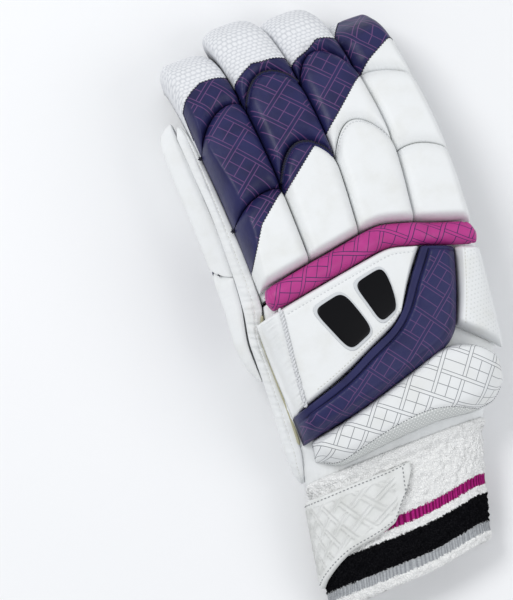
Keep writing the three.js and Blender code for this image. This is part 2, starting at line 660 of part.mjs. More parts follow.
function add(name, finish, solid) {
  const { vertProperties, triVerts, numProp } = solid.getMesh();
  const points = [];
  for (let i = 0; i < vertProperties.length; i += numProp)
    points.push(...vertProperties.subarray(i, i + 3));
  const geometry = new THREE.BufferGeometry()
    .setAttribute("position", new THREE.Float32BufferAttribute(points, 3))
    .setIndex([...triVerts]);
  geometry.computeVertexNormals();
  const mesh = new THREE.Mesh(geometry, materials[finish]);
  mesh.name = name;
  glove.add(mesh);
}

add("hand_shell", "white_leather", handShell());

const cutter = behindKnuckles();
const PAD_FINISHES = {
  index: ["white_leather", "navy_leather", "white_mesh"],
  middle: ["white_leather", "navy_leather", "white_mesh"],
  ring: ["white_leather", "navy_leather", "white_mesh"],
  little: ["white_leather", "white_leather", "white_mesh"],
};
const lines = FINGERS.map(fingerLine);
add("thumb_stall", "white_leather", thumbStall(lines[0]));
FINGERS.forEach((finger, i) => {
  const line = lines[i];
  add(`${finger.name}_stall`, "white_leather", fingerStall(line).subtract(cutter));
  fingerPads(finger, line).forEach(([part, solid], k) =>
    add(`${finger.name}_${part}`, PAD_FINISHES[finger.name][k], solid),
  );
});

add("knuckle_roll", "pink_leather", knuckleRoll(lines));
const panel = backPad(PANEL, PANEL_PAD, PANEL_SQUARE);
add("back_panel", "white_leather", panel.solid);
add("chevron_pad", "navy_leather", backPad(CHEVRON, CHEVRON_PAD, PAD_SQUARE).solid);
add("side_pad", "perforated", backPad(SIDE, SIDE_PAD, PANEL_SQUARE).solid);
add("wrist_pad", "white_leather", backPad(WRIST, WRIST_PAD, PAD_SQUARE).solid);
BADGES.forEach((row, i) => add(`badge_bar_${i + 1}`, "black_rubber", badge(panel, row)));

add("cuff", "towelling", cuff());
add("strap_patch", "rubber", strapPiece(STRAP_PATCH));
add("strap_tab", "rubber", strapPiece(STRAP_TAB));

const thumbJoint = (shift) => crease(THUMB_JOINT, shift, THUMB_LENGTH);
add("thumb_base_pad", "navy_leather", thumbPad(() => 0, thumbJoint(-1), false));
add("thumb_tip_pad", "navy_leather", thumbPad(thumbJoint(1), () => 1, true));

export default glove;
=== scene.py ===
"""A right-hand cricket batting glove lying palm down: its leathers, knits, rubber, piping and stitching."""
import math
import bpy
import numpy as np
from mathutils import Matrix, Vector


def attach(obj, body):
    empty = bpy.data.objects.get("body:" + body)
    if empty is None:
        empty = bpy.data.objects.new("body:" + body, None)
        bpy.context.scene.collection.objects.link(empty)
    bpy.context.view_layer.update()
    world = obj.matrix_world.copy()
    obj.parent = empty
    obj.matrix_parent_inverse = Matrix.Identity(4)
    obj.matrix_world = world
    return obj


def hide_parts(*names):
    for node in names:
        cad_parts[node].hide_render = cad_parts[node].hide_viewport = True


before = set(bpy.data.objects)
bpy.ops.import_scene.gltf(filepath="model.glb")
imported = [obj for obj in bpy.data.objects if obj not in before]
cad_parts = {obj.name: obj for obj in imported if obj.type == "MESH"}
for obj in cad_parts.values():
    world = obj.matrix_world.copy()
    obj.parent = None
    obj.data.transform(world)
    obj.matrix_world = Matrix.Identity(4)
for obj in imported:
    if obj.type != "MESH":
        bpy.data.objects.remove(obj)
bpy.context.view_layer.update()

# Sizes of the glove in millimetres, as it was cut and sewn
MM = 0.001
LEATHER = 2
KNIT = 3
GAP = 0.4
SEAT = 1.1
FINGER_PITCH = 33
HAND_HALF = 66
HAND_HEIGHT = 50
HAND_RISE = 8
WRIST_Y = -67
BACK_START = 5
KNUCKLE_Y = 54
KNUCKLE_PEAK = 13
KNUCKLE_FALL_THUMB = 14
KNUCKLE_FALL_LITTLE = 17
KNUCKLE_SOFT = 5
ROLL_RADIUS = 7
STALL_HEIGHT = 24
STALL_HALF = 14
FINGER_PAD = 20
TIP_PAD = 14
TIP_CLEAR = 4
TIP_WRAP = math.radians(97)
PANEL_PAD = 17
CHEVRON_PAD = 19
SIDE_PAD = 17
WRIST_PAD = 15
CUFF_LENGTH = 62
CUFF_END_HALF = 50
CUFF_END_HEIGHT = 27
CUFF_SHIFT = 15
STRAP = 2.4
THUMB_START_Y = 2
THUMB_LENGTH = 160
THUMB_HALF = 20
THUMB_PAD = 13
THUMB_LEAN = math.radians(18)
THUMB_STALL = 8
THUMB_STALL_HALF = 13
BADGE = 1.6
PALM_FLAT = 1.5
PALM_LIFTS_AT = 0.64
FINGER_PAD_HALF = FINGER_PITCH / 2 - GAP
FINGER_SKIRT = 3
TIP_SEAT = 0.8
TIP_START = 0.8
TIP_NARROWS = 0.12
TIP_THINS = 0.35
TIP_CLOSES = 0.9
STRAP_SEAT = 2 * GAP
CUFF_FLOOR = STRAP + STRAP_SEAT + GAP
SHOULDER = 0.93
STALL_SQUARE = 3
THUMB_SQUARE = 2.8
THUMB_NARROWS = 0.3
FIRST_CURL = math.radians(30)
CURL_STEPS = 60
CURL_ROUNDS = 30


def table(columns, *rows):
    return dict(zip(columns.split(), np.array(rows, float).T))


HAND_SECTIONS = table(
    "at centre half top squareness",
    (0, -0.35, 0.81, 0.72, 2.5),
    (0.22, -0.22, 0.93, 0.84, 2.6),
    (0.5, -0.12, 1.02, 0.94, 2.8),
    (0.78, -0.05, 1.03, 0.99, 3.4),
    (1, 0, 0.995, 1, 4.5),
)
FINGERS = {"index": (-1.5, 157), "middle": (-0.5, 162), "ring": (0.5, 153), "little": (1.5, 147)}
# The creases between a finger's pads: middle, arch, skew, in shares of its length
CREASES = {
    "index": ((0.332, 0.03, 0.035), (0.66, 0.05, 0.06)),
    "middle": ((0.422, 0.11, 0.015), (0.691, 0.09, 0.01)),
    "ring": ((0.436, 0.11, -0.005), (0.725, 0.1, -0.008)),
    "little": ((0.357, 0.03, -0.03), (0.67, 0.02, -0.035)),
}
SPLAY_REACH = 150
SPLAY = table(
    "at first second third fourth last",
    (0, 0, 0, 0, 0, 0),
    (0.35, 0, 0.02, 0.12, 0.18, 0.1),
    (0.7, -0.06, -0.02, 0.05, 0.06, 0.02),
    (1, -0.14, -0.16, -0.18, -0.17, -0.16),
)
CURL = table("at turn", (0, 0.1), (0.3, 0.2), (0.6, 0.6), (0.8, 1))
STALL_WIDTHS = table(
    "at half", (-0.1, 1.15), (0.03, 1.14), (0.16, 1), (0.8, 0.96), (0.93, 0.8), (1, 0.5)
)
ROLL_END = table("at width", (0, 1), (0.9, 1), (0.97, 0.9), (1, 0.55))
PANEL = table(
    "u1 v1 u2 v2",
    (-1.12, 1, -1.1, 0.4),
    (-0.65, 1, -0.65, 0.475),
    (-0.2, 1, -0.26, 0.56),
    (0.18, 1, 0, 0.62),
    (0.46, 1, 0.07, 0.65),
)
CHEVRON = table(
    "u1 v1 u2 v2",
    (0.485, 1, 0.76, 1),
    (0.31, 0.835, 0.62, 0.7),
    (0.11, 0.66, 0.48, 0.49),
    (-0.04, 0.592, 0.3, 0.4),
    (-0.3, 0.535, -0.16, 0.325),
    (-0.6, 0.46, -0.56, 0.27),
    (-1.1, 0.385, -1.09, 0.225),
)
SIDE = table("u1 v1 u2 v2", (0.785, 1, 0.99, 1), (0.65, 0.7, 0.955, 0.7), (0.54, 0.52, 0.9, 0.36))
WRIST = table(
    "u1 v1 u2 v2",
    (-1.02, 0.205, -1.04, 0.1),
    (-0.78, 0.225, -0.8, 0.02),
    (-0.33, 0.285, -0.33, 0.045),
    (0.05, 0.345, 0.05, 0.055),
    (0.4, 0.405, 0.4, 0.04),
    (0.6, 0.39, 0.62, 0.06),
    (0.82, 0.3, 0.8, 0.16),
)
BADGE_MIDDLE, BADGE_HALF, BADGE_SLANT = 0.06, 0.72, 0.12
BADGES = ((-0.42, -0.04), (0.05, 0.5))
STRAP_PATCH = table(
    "at low high",
    (86, 0.07, 0.14),
    (95, 0.07, 0.55),
    (128, 0.07, 0.66),
    (160, 0.06, 0.8),
    (180, 0.05, 0.86),
    (206, 0.05, 0.86),
)
STRAP_TAB = table("at low high", (209, 0.08, 0.8), (246, 0.12, 0.76), (258, 0.3, 0.62))
THUMB_SECTIONS = table(
    "at half across lift lean thick",
    (0, 0.72, -1.15, 0.44, 1, 0.35),
    (0.11, 0.92, -1.145, 0.32, 1, 0.6),
    (0.29, 1, -1.07, 0.26, 0.9, 0.88),
    (0.49, 1, -1.045, 0.25, 0.75, 1),
    (0.7, 0.97, -1.065, 0.25, 0.6, 0.97),
    (0.9, 0.86, -1.08, 0.26, 0.6, 0.88),
    (1, 0.66, -1.09, 0.35, 0.6, 0.62),
)
THUMB_JOINT, THUMB_JOINT_ARCH = 0.48, 0.1
THUMB_STALL_SECTIONS = table(
    "at low wide high", (0, 0.35, 1, 1), (0.7, 0.49, 1, 0.79), (0.8, 0.51, 0.78, 0.59), (0.9, 0.53, 0.55, 0.4)
)


def mix(a, b, t):
    return a + (b - a) * t


def clamp(t):
    return np.clip(t, 0, 1)


def smooth(t):
    return clamp(t) ** 2 * (3 - 2 * clamp(t))


def bulge(c, power):
    return np.sign(c) * np.abs(c) ** power


def column(rows, key, at, by="at"):
    """The smooth curve through a table's column, with no overshoot."""
    xs, ys = rows[by], rows[key]
    at = np.clip(at, xs[0], xs[-1])
    steps = np.diff(xs)
    rises = np.diff(ys) / steps
    slopes = np.concatenate([rises[:1], np.zeros(len(xs) - 2), rises[-1:]])
    same = rises[:-1] * rises[1:] > 0
    before, after = 2 * steps[1:] + steps[:-1], steps[1:] + 2 * steps[:-1]
    low, high = np.where(same, rises[:-1], 1), np.where(same, rises[1:], 1)
    slopes[1:-1] = np.where(same, (before + after) / (before / low + after / high), 0)
    i = np.clip(np.searchsorted(xs, at) - 1, 0, len(xs) - 2)
    t = (at - xs[i]) / steps[i]
    curve = mix(ys[i], ys[i + 1], t * t * (3 - 2 * t))
    return curve + steps[i] * t * (1 - t) * (slopes[i] * (1 - t) - slopes[i + 1] * t)


def point(x, y, z):
    return np.stack(np.broadcast_arrays(x, y, z), -1).astype(float)


def knuckle_line(x):
    left = KNUCKLE_FALL_THUMB / (HAND_HALF + KNUCKLE_PEAK)
    right = KNUCKLE_FALL_LITTLE / (HAND_HALF - KNUCKLE_PEAK)
    across = x - KNUCKLE_PEAK
    both = np.sqrt(across**2 + KNUCKLE_SOFT**2)
    return KNUCKLE_Y - (left + right) / 2 * both - (right - left) / 2 * across


def hand_shape(x, at):
    rise = -HAND_RISE * x / HAND_HALF
    top = HAND_HEIGHT * column(HAND_SECTIONS, "top", at) + rise * smooth(at * 2)
    floor = smooth((at - PALM_LIFTS_AT) / (1 - PALM_LIFTS_AT)) * (top - STALL_HEIGHT)
    centre, half = (HAND_HALF * column(HAND_SECTIONS, key, at) for key in ("centre", "half"))
    return top, floor, centre, half, column(HAND_SECTIONS, "squareness", at)


def hand_point(turn, at, grow):
    """A point of the leather tube round the hand, turn from the little finger side over the back."""
    _, _, centre, half, squareness = hand_shape(0, at)
    x = centre + (half + grow) * bulge(np.cos(turn), 2 / squareness)
    top, floor, *_ = hand_shape(x, at)
    up = bulge(np.sin(turn), 2 / squareness)
    reach = (top - floor) / 2 + grow + np.where(up < 0, PALM_FLAT, 0)
    z = np.maximum((top + floor) / 2 + reach * up, floor - grow)
    return point(x, mix(WRIST_Y, knuckle_line(x), at), z)


def back_height(x, y):
    at = clamp((y - WRIST_Y) / (knuckle_line(x) - WRIST_Y))
    top, floor, centre, half, squareness = hand_shape(x, at)
    across = np.abs(x - centre) / half
    dome = lambda t: (1 - t**squareness) ** (1 / squareness)
    slope = -(SHOULDER ** (squareness - 1)) * dome(SHOULDER) ** (1 - squareness)
    inside = dome(np.minimum(across, SHOULDER))
    share = inside + slope * np.maximum(across - SHOULDER, 0)
    return (top + floor) / 2 + (top - floor) / 2 * share


def back_point(u, v, h):
    x = u * HAND_HALF
    y = mix(WRIST_Y + BACK_START, knuckle_line(x) - ROLL_RADIUS - GAP, v)
    return point(x, y, back_height(x, y) + h)


def fitted_finger(place, reach):
    """The back line of a finger that curls until its tip pad ends just above the floor."""
    x = place * FINGER_PITCH
    start_y = float(knuckle_line(x))
    start_z = float(back_height(x, start_y))
    share = np.linspace(0, 1, CURL_STEPS + 1)
    between = (share[1:] + share[:-1]) / 2

    def heading(s, curl):
        tip = mix(curl, TIP_WRAP, (s - TIP_START) / (1 - TIP_START))
        return np.where(s < TIP_START, curl * np.interp(s, CURL["at"], CURL["turn"]), tip)

    def walk(length, curl):
        turned, step = heading(between, curl), length / CURL_STEPS
        y = start_y + np.concatenate([[0], np.cumsum(np.cos(turned))]) * step
        return y, start_z - np.concatenate([[0], np.cumsum(np.sin(turned))]) * step

    length, curl = reach, FIRST_CURL
    for _ in range(CURL_ROUNDS):
        y, z = walk(length, curl)
        length *= (reach - TIP_PAD) / (y[-1] - start_y)
        curl *= ((start_z - TIP_CLEAR) / (start_z - z[-1])) ** 2
    y, z = walk(length, curl)
    return {"x": x, "length": length, "s": share, "y": y, "z": z, "heading": heading(share, curl)}


def finger_at(line, s):
    y, z, heading = (np.interp(s, line["s"], line[key]) for key in ("y", "z", "heading"))
    before = np.minimum(s, 0) * line["length"]
    return y + before * np.cos(heading), z - before * np.sin(heading), heading


def splay(x, y):
    """How far a place ahead of the knuckles is shifted sideways, because the fingers spread."""
    at = np.clip(x / FINGER_PITCH + 2, 0, 4)
    along = (y - knuckle_line(x) - ROLL_RADIUS) / SPLAY_REACH
    lines = np.stack([column(SPLAY, key, along) for key in ("first", "second", "third", "fourth", "last")])
    i = np.clip(np.floor(at).astype(int), 0, 3)
    pick = lambda k: np.take_along_axis(lines, k[None], 0)[0]
    return FINGER_PITCH * mix(pick(i), pick(i + 1), at - i)


def spread(points):
    return points + point(splay(points[..., 0], points[..., 1]), 0, 0)


def finger_point(line, s, side, h):
    y, z, heading = finger_at(line, s)
    return spread(point(line["x"] + side, y + h * np.sin(heading), z + h * np.cos(heading)))


LINES = {name: fitted_finger(*where) for name, where in FINGERS.items()}


def stall_point(line, s, turn, grow):
    """A point of the empty stall under a finger's pads."""
    s, turn, grow = np.broadcast_arrays(s, turn, grow)

    def spot(share, h):
        y, z, heading = finger_at(line, share)
        return point(line["x"], y + h * np.sin(heading), z + h * np.cos(heading))

    back, tip = spot(s, 0), spot(np.ones_like(s), 0)
    hinge = spot(np.minimum(s, TIP_START), -STALL_HEIGHT)
    palm = mix(hinge, tip, TIP_CLOSES * clamp((s - TIP_START) / (1 - TIP_START))[..., None])
    up = (back - palm) / 2
    centre = back - up
    size = np.linalg.norm(up, axis=-1, keepdims=True)
    up = up / size * (size + grow[..., None])
    half = STALL_HALF * np.interp(s, STALL_WIDTHS["at"], STALL_WIDTHS["half"]) + grow
    across = half * bulge(np.cos(turn), 2 / STALL_SQUARE)
    return spread(centre + point(across, 0, 0) + up * bulge(np.sin(turn), 2 / STALL_SQUARE)[..., None])


def cuff_point(turn, at, h):
    top, _, centre, wrist_half, squareness = hand_shape(0, 0)
    half = mix(wrist_half, CUFF_END_HALF, at) + h
    rise = mix(top - CUFF_FLOOR, CUFF_END_HEIGHT - CUFF_FLOOR, at) / 2
    x = centre - CUFF_SHIFT * at + half * bulge(np.cos(turn), 2 / squareness)
    z = CUFF_FLOOR + rise + (rise + h) * bulge(np.sin(turn), 2 / squareness)
    return point(x, WRIST_Y - GAP - at * CUFF_LENGTH, z)


def thumb_seat(t):
    half, across, lift, lean, thick = (
        column(THUMB_SECTIONS, key, t) for key in ("half", "across", "lift", "lean", "thick")
    )
    angle = lean * THUMB_LEAN
    z = THUMB_HALF * (lift + half * np.cos(angle))
    centre = point(across * HAND_HALF, THUMB_START_Y + t * THUMB_LENGTH, z)
    out = point(-np.cos(angle), 0, -np.sin(angle))
    up = point(-np.sin(angle), 0, np.cos(angle))
    return centre, out, up, half * THUMB_HALF, thick * THUMB_PAD


def thumb_point(t, q, h):
    centre, out, up, half, _ = thumb_seat(t)
    return centre + up * (q * half)[..., None] + out * np.asarray(h)[..., None]


def thumb_stall_point(t, turn, grow):
    low, wide, high = (column(THUMB_STALL_SECTIONS, key, t) for key in ("low", "wide", "high"))
    centre, out, up, _, _ = thumb_seat(t)
    middle = centre - up * (low * THUMB_HALF)[..., None] - out * (THUMB_STALL + SEAT)
    across = (THUMB_STALL * wide + grow) * bulge(np.cos(turn), 2 / THUMB_SQUARE)
    rise = (THUMB_STALL_HALF * high + grow) * bulge(np.sin(turn), 2 / THUMB_SQUARE)
    return middle + out * across[..., None] + up * rise[..., None]


def crease(row, shift, length):
    middle, arch, skew = row
    return lambda q: middle - arch * q**2 + skew * q + shift * GAP / length


def finger_root(line):
    def root(q):
        ahead = knuckle_line(line["x"] + q * FINGER_PAD_HALF) + ROLL_RADIUS + GAP
        return (ahead - knuckle_line(line["x"])) / line["length"]

    return root


# Sizes of what covers and joins the pieces, in millimetres
SOFT_CORNER = 2.2
SIDE_ROUND = 6.5
OUTER_ROUND = 6
END_ROUND = 5
SWELL = 0.37
CREASE_EDGE = 0.3
CREASE_SINK = {"navy": 0.55, "white": 0.72}
CREASE_ROUND = 8
FINGERTIP_ROUND = 11
SKIRT_FROM = 0.9
PAD_DOME = 0.05
GATHER_DEPTH = 0.45
GATHER_REACH = 2.4
SCALE_WIDTH = 3.0
SCALE_ROW = 2.1
SCALE_RISE = 0.6
PANEL_OUT = 1.0
CHEVRON_OUT = 1.0
CHEVRON_UNDER = 0.9
SIDE_OUT = 1.2
WRIST_OUT = 1.4
THUMB_CORNER = 4.6
THUMB_SEAM = 11
PIPING = 0.9
STRIP_CROWN = 2.2
STRIP_LEATHER = 1.0
TERRY = 0.5
RIBS = 92
HEM_WAVE = 0.09
HEM_ROUND = 3.4
CUFF_OVERLAP = 0.09
CUFF_PER_DEGREE = 0.75
PINK_BAND = (0.4, 0.495)
BLACK_BAND = (0.575, 0.83)
GREY_BAND = (0.83, 0.915)
LATTICE = 15
LATTICE_PAIR = 1.05
LATTICE_LINE = 0.2

INDEX_BEVEL = table("at reach", (0, 4), (0.1, 6), (0.27, 9.5), (0.36, 8.5), (0.55, 4.5), (0.7, 5), (1, 7))
CREASE_TRIMS = {"middle": (("low", "rope"), ("high", "rope")), "ring": (("low", "stitches"),)}
KNOTS = {"index": ("low", "high"), "middle": ("low",)}
KNOT_SIDE = -0.97

# Each finger pad's slot, and where navy leather and then knit mesh begins on it: a share of the finger's
# length at places from -1 to 1 across the finger
WHOLE = [(-1, 0), (1, 0)]
NEVER = [(-1, 2), (1, 2)]
FINGER_PADS = {
    "index_base_pad": ("two_tone_leather", [(-1, 0.1), (-0.16, 0.23), (0.89, 0.318), (1, 0.328)], NEVER),
    "index_middle_pad": ("navy_leather", WHOLE, NEVER),
    "index_tip_pad": (
        "white_mesh", WHOLE, [(-1, 0.5), (-0.97, 0.62), (-0.93, 0.712), (-0.4, 0.75), (0, 0.77), (1, 0.77)],
    ),
    "middle_base_pad": ("two_tone_leather", [(-1, 0.267), (-0.69, 0.292), (0.45, 0.383), (1, 0.427)], NEVER),
    "middle_middle_pad": ("navy_leather", WHOLE, NEVER),
    "middle_tip_pad": ("white_mesh", WHOLE, [(-1, 0.684), (-0.15, 0.723), (1, 0.71)]),
    "ring_base_pad": ("white_leather", NEVER, NEVER),
    "ring_middle_pad": ("two_tone_leather", [(-1, 0.417), (0.1, 0.508), (1, 0.581)], NEVER),
    "ring_tip_pad": ("white_mesh", WHOLE, [(-1, 0.704), (0.24, 0.755), (1, 0.743)]),
    "little_base_pad": ("white_leather", NEVER, NEVER),
    "little_middle_pad": ("white_leather", NEVER, NEVER),
    "little_tip_pad": (
        "two_tone_leather",
        [(-1, 0.685), (-0.38, 0.718), (0.67, 0.77), (1, 0.786)],
        [(-1, 0.842), (-0.89, 0.853), (0.22, 0.97), (0.5, 1.1), (1, 1.3)],
    ),
}
SEAM_SLOPE = 0.75


class Value:
    """A shader socket that takes part in arithmetic."""

    def __init__(self, paint, socket):
        self.paint, self.socket = paint, socket

    def maths(self, operation, *others):
        return self.paint.node("ShaderNodeMath", {"operation": operation}, dict(enumerate((self, *others))))

    def before(self, operation, other):
        return self.paint.node("ShaderNodeMath", {"operation": operation}, {0: other, 1: self})

    def __add__(self, other):
        return self.maths("ADD", other)

    def __sub__(self, other):
        return self.maths("SUBTRACT", other)

    def __rsub__(self, other):
        return self.before("SUBTRACT", other)

    def __mul__(self, other):
        return self.maths("MULTIPLY", other)

    def __truediv__(self, other):
        return self.maths("DIVIDE", other)

    def __mod__(self, other):
        return self.maths("FLOORED_MODULO", other)

    def __pow__(self, other):
        return self.maths("POWER", other)

    def __lt__(self, other):
        return self.maths("LESS_THAN", other)

    def __gt__(self, other):
        return self.maths("GREATER_THAN", other)

    def __abs__(self):
        return self.maths("ABSOLUTE")

    __radd__, __rmul__ = __add__, __mul__

    def folded(self, span):
        return self.maths("PINGPONG", span)

    def floor(self):
        return self.maths("FLOOR")

    def either(self, other):
        return self.maths("MAXIMUM", other)

    def rising(self, low, high):
        """0 below low, 1 above high and smooth between them."""
        limits = {"Value": self, "From Min": low, "From Max": high}
        return self.paint.node("ShaderNodeMapRange", {"interpolation_type": "SMOOTHSTEP"}, limits)


class Paint:
    """One material and its nodes."""

    def __init__(self, name):
        self.material = bpy.data.materials.new(name)
        self.material.use_nodes = True
        self.tree = self.material.node_tree
        self.tree.nodes.clear()
        self.place = self.node("ShaderNodeTexCoord", output="Object")

    def node(self, kind, settings=None, inputs=None, output=0):
        made = self.tree.nodes.new(kind)
        for key, value in (settings or {}).items():
            setattr(made, key, value)
        for key, value in (inputs or {}).items():
            if isinstance(value, Value):
                self.tree.links.new(value.socket, made.inputs[key])
            else:
                made.inputs[key].default_value = value
        return Value(self, made.outputs[output])

    def mark(self, name, output="Fac"):
        return self.node("ShaderNodeAttribute", {"attribute_name": name}, output=output)

    def split(self, vector):
        parts = self.node("ShaderNodeSeparateXYZ", inputs={0: vector})
        return [Value(self, socket) for socket in parts.socket.node.outputs]

    def noise(self, size, detail=2):
        """Cloudy noise whose lumps are about size millimetres wide."""
        inputs = {"Vector": self.place, "Scale": 1 / (size * MM), "Detail": detail}
        return self.node("ShaderNodeTexNoise", inputs=inputs)

    def cells(self, size, feature="F1"):
        inputs = {"Vector": self.place, "Scale": 1 / (size * MM)}
        return self.node("ShaderNodeTexVoronoi", {"feature": feature}, inputs, "Distance")

    def blend(self, share, low, high):
        return self.node("ShaderNodeMix", {"data_type": "RGBA"}, {0: share, 6: low, 7: high}, 2)

    def finish(self, colour, roughness, bumps=(), constants=None):
        """The surface: bumps are (height, depth in millimetres, strength), and constants go on the shader."""
        inputs = {"Base Color": colour, "Roughness": roughness}
        normal = None
        for height, depth, strength in bumps:
            links = {"Height": height, "Distance": depth * MM, "Strength": strength}
            if normal:
                links["Normal"] = normal
            normal = self.node("ShaderNodeBump", inputs=links)
        if normal:
            inputs["Normal"] = normal
        inputs.update(constants or {})
        shader = self.node("ShaderNodeBsdfPrincipled", inputs=inputs)
        surface = self.tree.nodes.new("ShaderNodeOutputMaterial").inputs["Surface"]
        self.tree.links.new(shader.socket, surface)
        return self.material


WHITE = (0.8, 0.815, 0.82, 1)
CREAM = (0.68, 0.68, 0.64, 1)
NAVY = (0.02, 0.021, 0.092, 1)
NAVY_DEEP = (0.012, 0.012, 0.058, 1)
VIOLET = (0.13, 0.056, 0.17, 1)
PINK = (0.47, 0.042, 0.25, 1)
MAGENTA = (0.42, 0.02, 0.2, 1)
GREY = (0.3, 0.32, 0.33, 1)
SILVER = (0.62, 0.64, 0.66, 1)
SATIN = {"Specular IOR Level": 0.28}
FLUFFY = {"Specular IOR Level": 0.05}
DULL = {"Specular IOR Level": 0.12}
SEMI_GLOSS = {"Specular IOR Level": 0.14}


def lattice(paint, u, v, turn=38):
    """How much a printed line covers a place: pairs of lines that pass over and under, and split cells."""
    c, s = math.cos(math.radians(turn)), math.sin(math.radians(turn))
    a, b = u * c + v * s, v * c - u * s
    half = LATTICE / 2

    def line(distance, at):
        return 1 - abs(distance - at).rising(LATTICE_LINE * 0.6, LATTICE_LINE * 1.5)

    near_a, near_b = a.folded(half), b.folded(half)
    weave = ((a / LATTICE + 0.5).floor() + (b / LATTICE + 0.5).floor()) % 2
    cell = ((a / LATTICE).floor() + (b / LATTICE).floor()) % 2
    in_a, in_b = near_a < LATTICE_PAIR, near_b < LATTICE_PAIR
    pair_a = line(near_a, LATTICE_PAIR) * (1 - in_b * weave)
    pair_b = line(near_b, LATTICE_PAIR) * (1 - in_a * (1 - weave))
    split_a = line(near_a, half) * (1 - in_b)
    split_b = line(near_b, half) * (1 - in_a) * cell
    return pair_a.either(pair_b).either(split_a).either(split_b)


def hide_bumps(paint):
    """The pebble of the leather, its soft creases and the dimples of the foam under it."""
    pebble = paint.cells(0.9, "SMOOTH_F1")
    return [(paint.noise(8, 4), 0.9, 0.45), (pebble, 0.05, 0.7), (paint.noise(0.35), 0.03, 0.4)]


def white_hide(paint):
    worn = paint.noise(14, 4).rising(0.38, 0.95)
    return paint.blend(worn * 0.55, WHITE, CREAM)


def dots(u, v, pitch, low, high, shift=0):
    """Round dots a pitch apart in rows, every other one shifted: 1 inside low millimetres, 0 beyond high."""
    row = (v / pitch).floor() % 2
    across, along = (u + row * shift) % pitch - pitch / 2, v % pitch - pitch / 2
    return 1 - ((across * across + along * along) ** 0.5).rising(low, high)


def plain_leather(name):
    paint = Paint(name)
    return paint.finish(white_hide(paint), 0.46 + paint.noise(4) * 0.12, hide_bumps(paint), SATIN)


def palm_leather(name):
    """White leather with rows of small punched holes."""
    paint = Paint(name)
    u, v, _ = paint.split(paint.mark("chart", "Vector"))
    colour = paint.blend(dots(u, v, 3.2, 0.28, 0.42) * 0.8, white_hide(paint), (0.12, 0.12, 0.12, 1))
    return paint.finish(colour, 0.46 + paint.noise(4) * 0.12, hide_bumps(paint), SATIN)


def finger_leather(name):
    """White leather, lined navy leather and mesh: the marks navy and mesh are above 0 inside their seams."""
    paint = Paint(name)
    u, v, _ = paint.split(paint.mark("chart", "Vector"))
    navy = paint.mark("navy").rising(-0.1, 0.1)
    mesh = paint.mark("mesh").rising(-0.1, 0.1)
    cloud = paint.noise(16, 3)
    dyed = paint.blend(cloud.rising(0.3, 0.8), NAVY, NAVY_DEEP)
    dyed = paint.blend(lattice(paint, u, v) * paint.mark("face").rising(0, 1.5), dyed, VIOLET)
    # The knit mesh is painted greyer in the hollows between its scales, which the weave mark traces: a
    # painted shade, with some random noise added.
    hollow = (1 - paint.mark("weave").rising(0.1, 0.75)) * 0.5
    hollow = hollow + paint.noise(1.1).rising(0.4, 0.9) * 0.15
    knitted = paint.blend(hollow, (0.8, 0.81, 0.83, 1), (0.42, 0.44, 0.48, 1))
    colour = paint.blend(navy, white_hide(paint), dyed)
    colour = paint.blend(mesh, colour, knitted)
    rough = 0.45 - navy * 0.06 + mesh * 0.3
    bumps = hide_bumps(paint) + [(paint.cells(0.5) * mesh, 0.12, 0.6)]
    return paint.finish(colour, rough + paint.noise(4) * 0.08, bumps, SATIN)


def lined_leather(name, ground, shade, ink, turn, strength):
    """Dyed leather with printed lines, which fade out where the mark face goes below 0."""
    paint = Paint(name)
    u, v, _ = paint.split(paint.mark("chart", "Vector"))
    colour = paint.blend(paint.noise(14, 3).rising(0.35, 0.9), ground, shade)
    printed = lattice(paint, u, v, turn) * strength * paint.mark("face").rising(0, 1)
    colour = paint.blend(printed, colour, ink)
    return paint.finish(colour, 0.4 + paint.noise(4) * 0.1, hide_bumps(paint), SATIN)


def wrist_leather(name):
    """White leather printed with fine dark lines, and a greyer dotted skin where the mark face is below 0."""
    paint = Paint(name)
    u, v, _ = paint.split(paint.mark("chart", "Vector"))
    under = 1 - paint.mark("face").rising(-0.15, 0.15)
    lines = lattice(paint, u, v, 52) * (1 - under)
    colour = paint.blend(lines * 0.8, white_hide(paint), (0.1, 0.11, 0.13, 1))
    dot = dots(u, v, 2.1, 0.35, 0.55, shift=1.05)
    skin = paint.blend(dot, (0.6, 0.62, 0.61, 1), (0.92, 0.93, 0.92, 1))
    colour = paint.blend(under, colour, skin)
    bumps = hide_bumps(paint) + [(dot * under, 0.2, 0.5)]
    return paint.finish(colour, 0.45 + paint.noise(4) * 0.1, bumps, SATIN)


def dotted_leather(name):
    """White leather pressed with small dots, where the mark face is above 0."""
    paint = Paint(name)
    u, v, _ = paint.split(paint.mark("chart", "Vector"))
    dot = dots(u, v, 2.4, 0.3, 0.6, shift=1.2) * paint.mark("face").rising(0, 1)
    colour = paint.blend(dot * 0.5, white_hide(paint), (0.62, 0.65, 0.64, 1))
    bumps = hide_bumps(paint) + [(1 - dot, 0.25, 0.6)]
    return paint.finish(colour, 0.48 + paint.noise(4) * 0.1, bumps, SATIN)


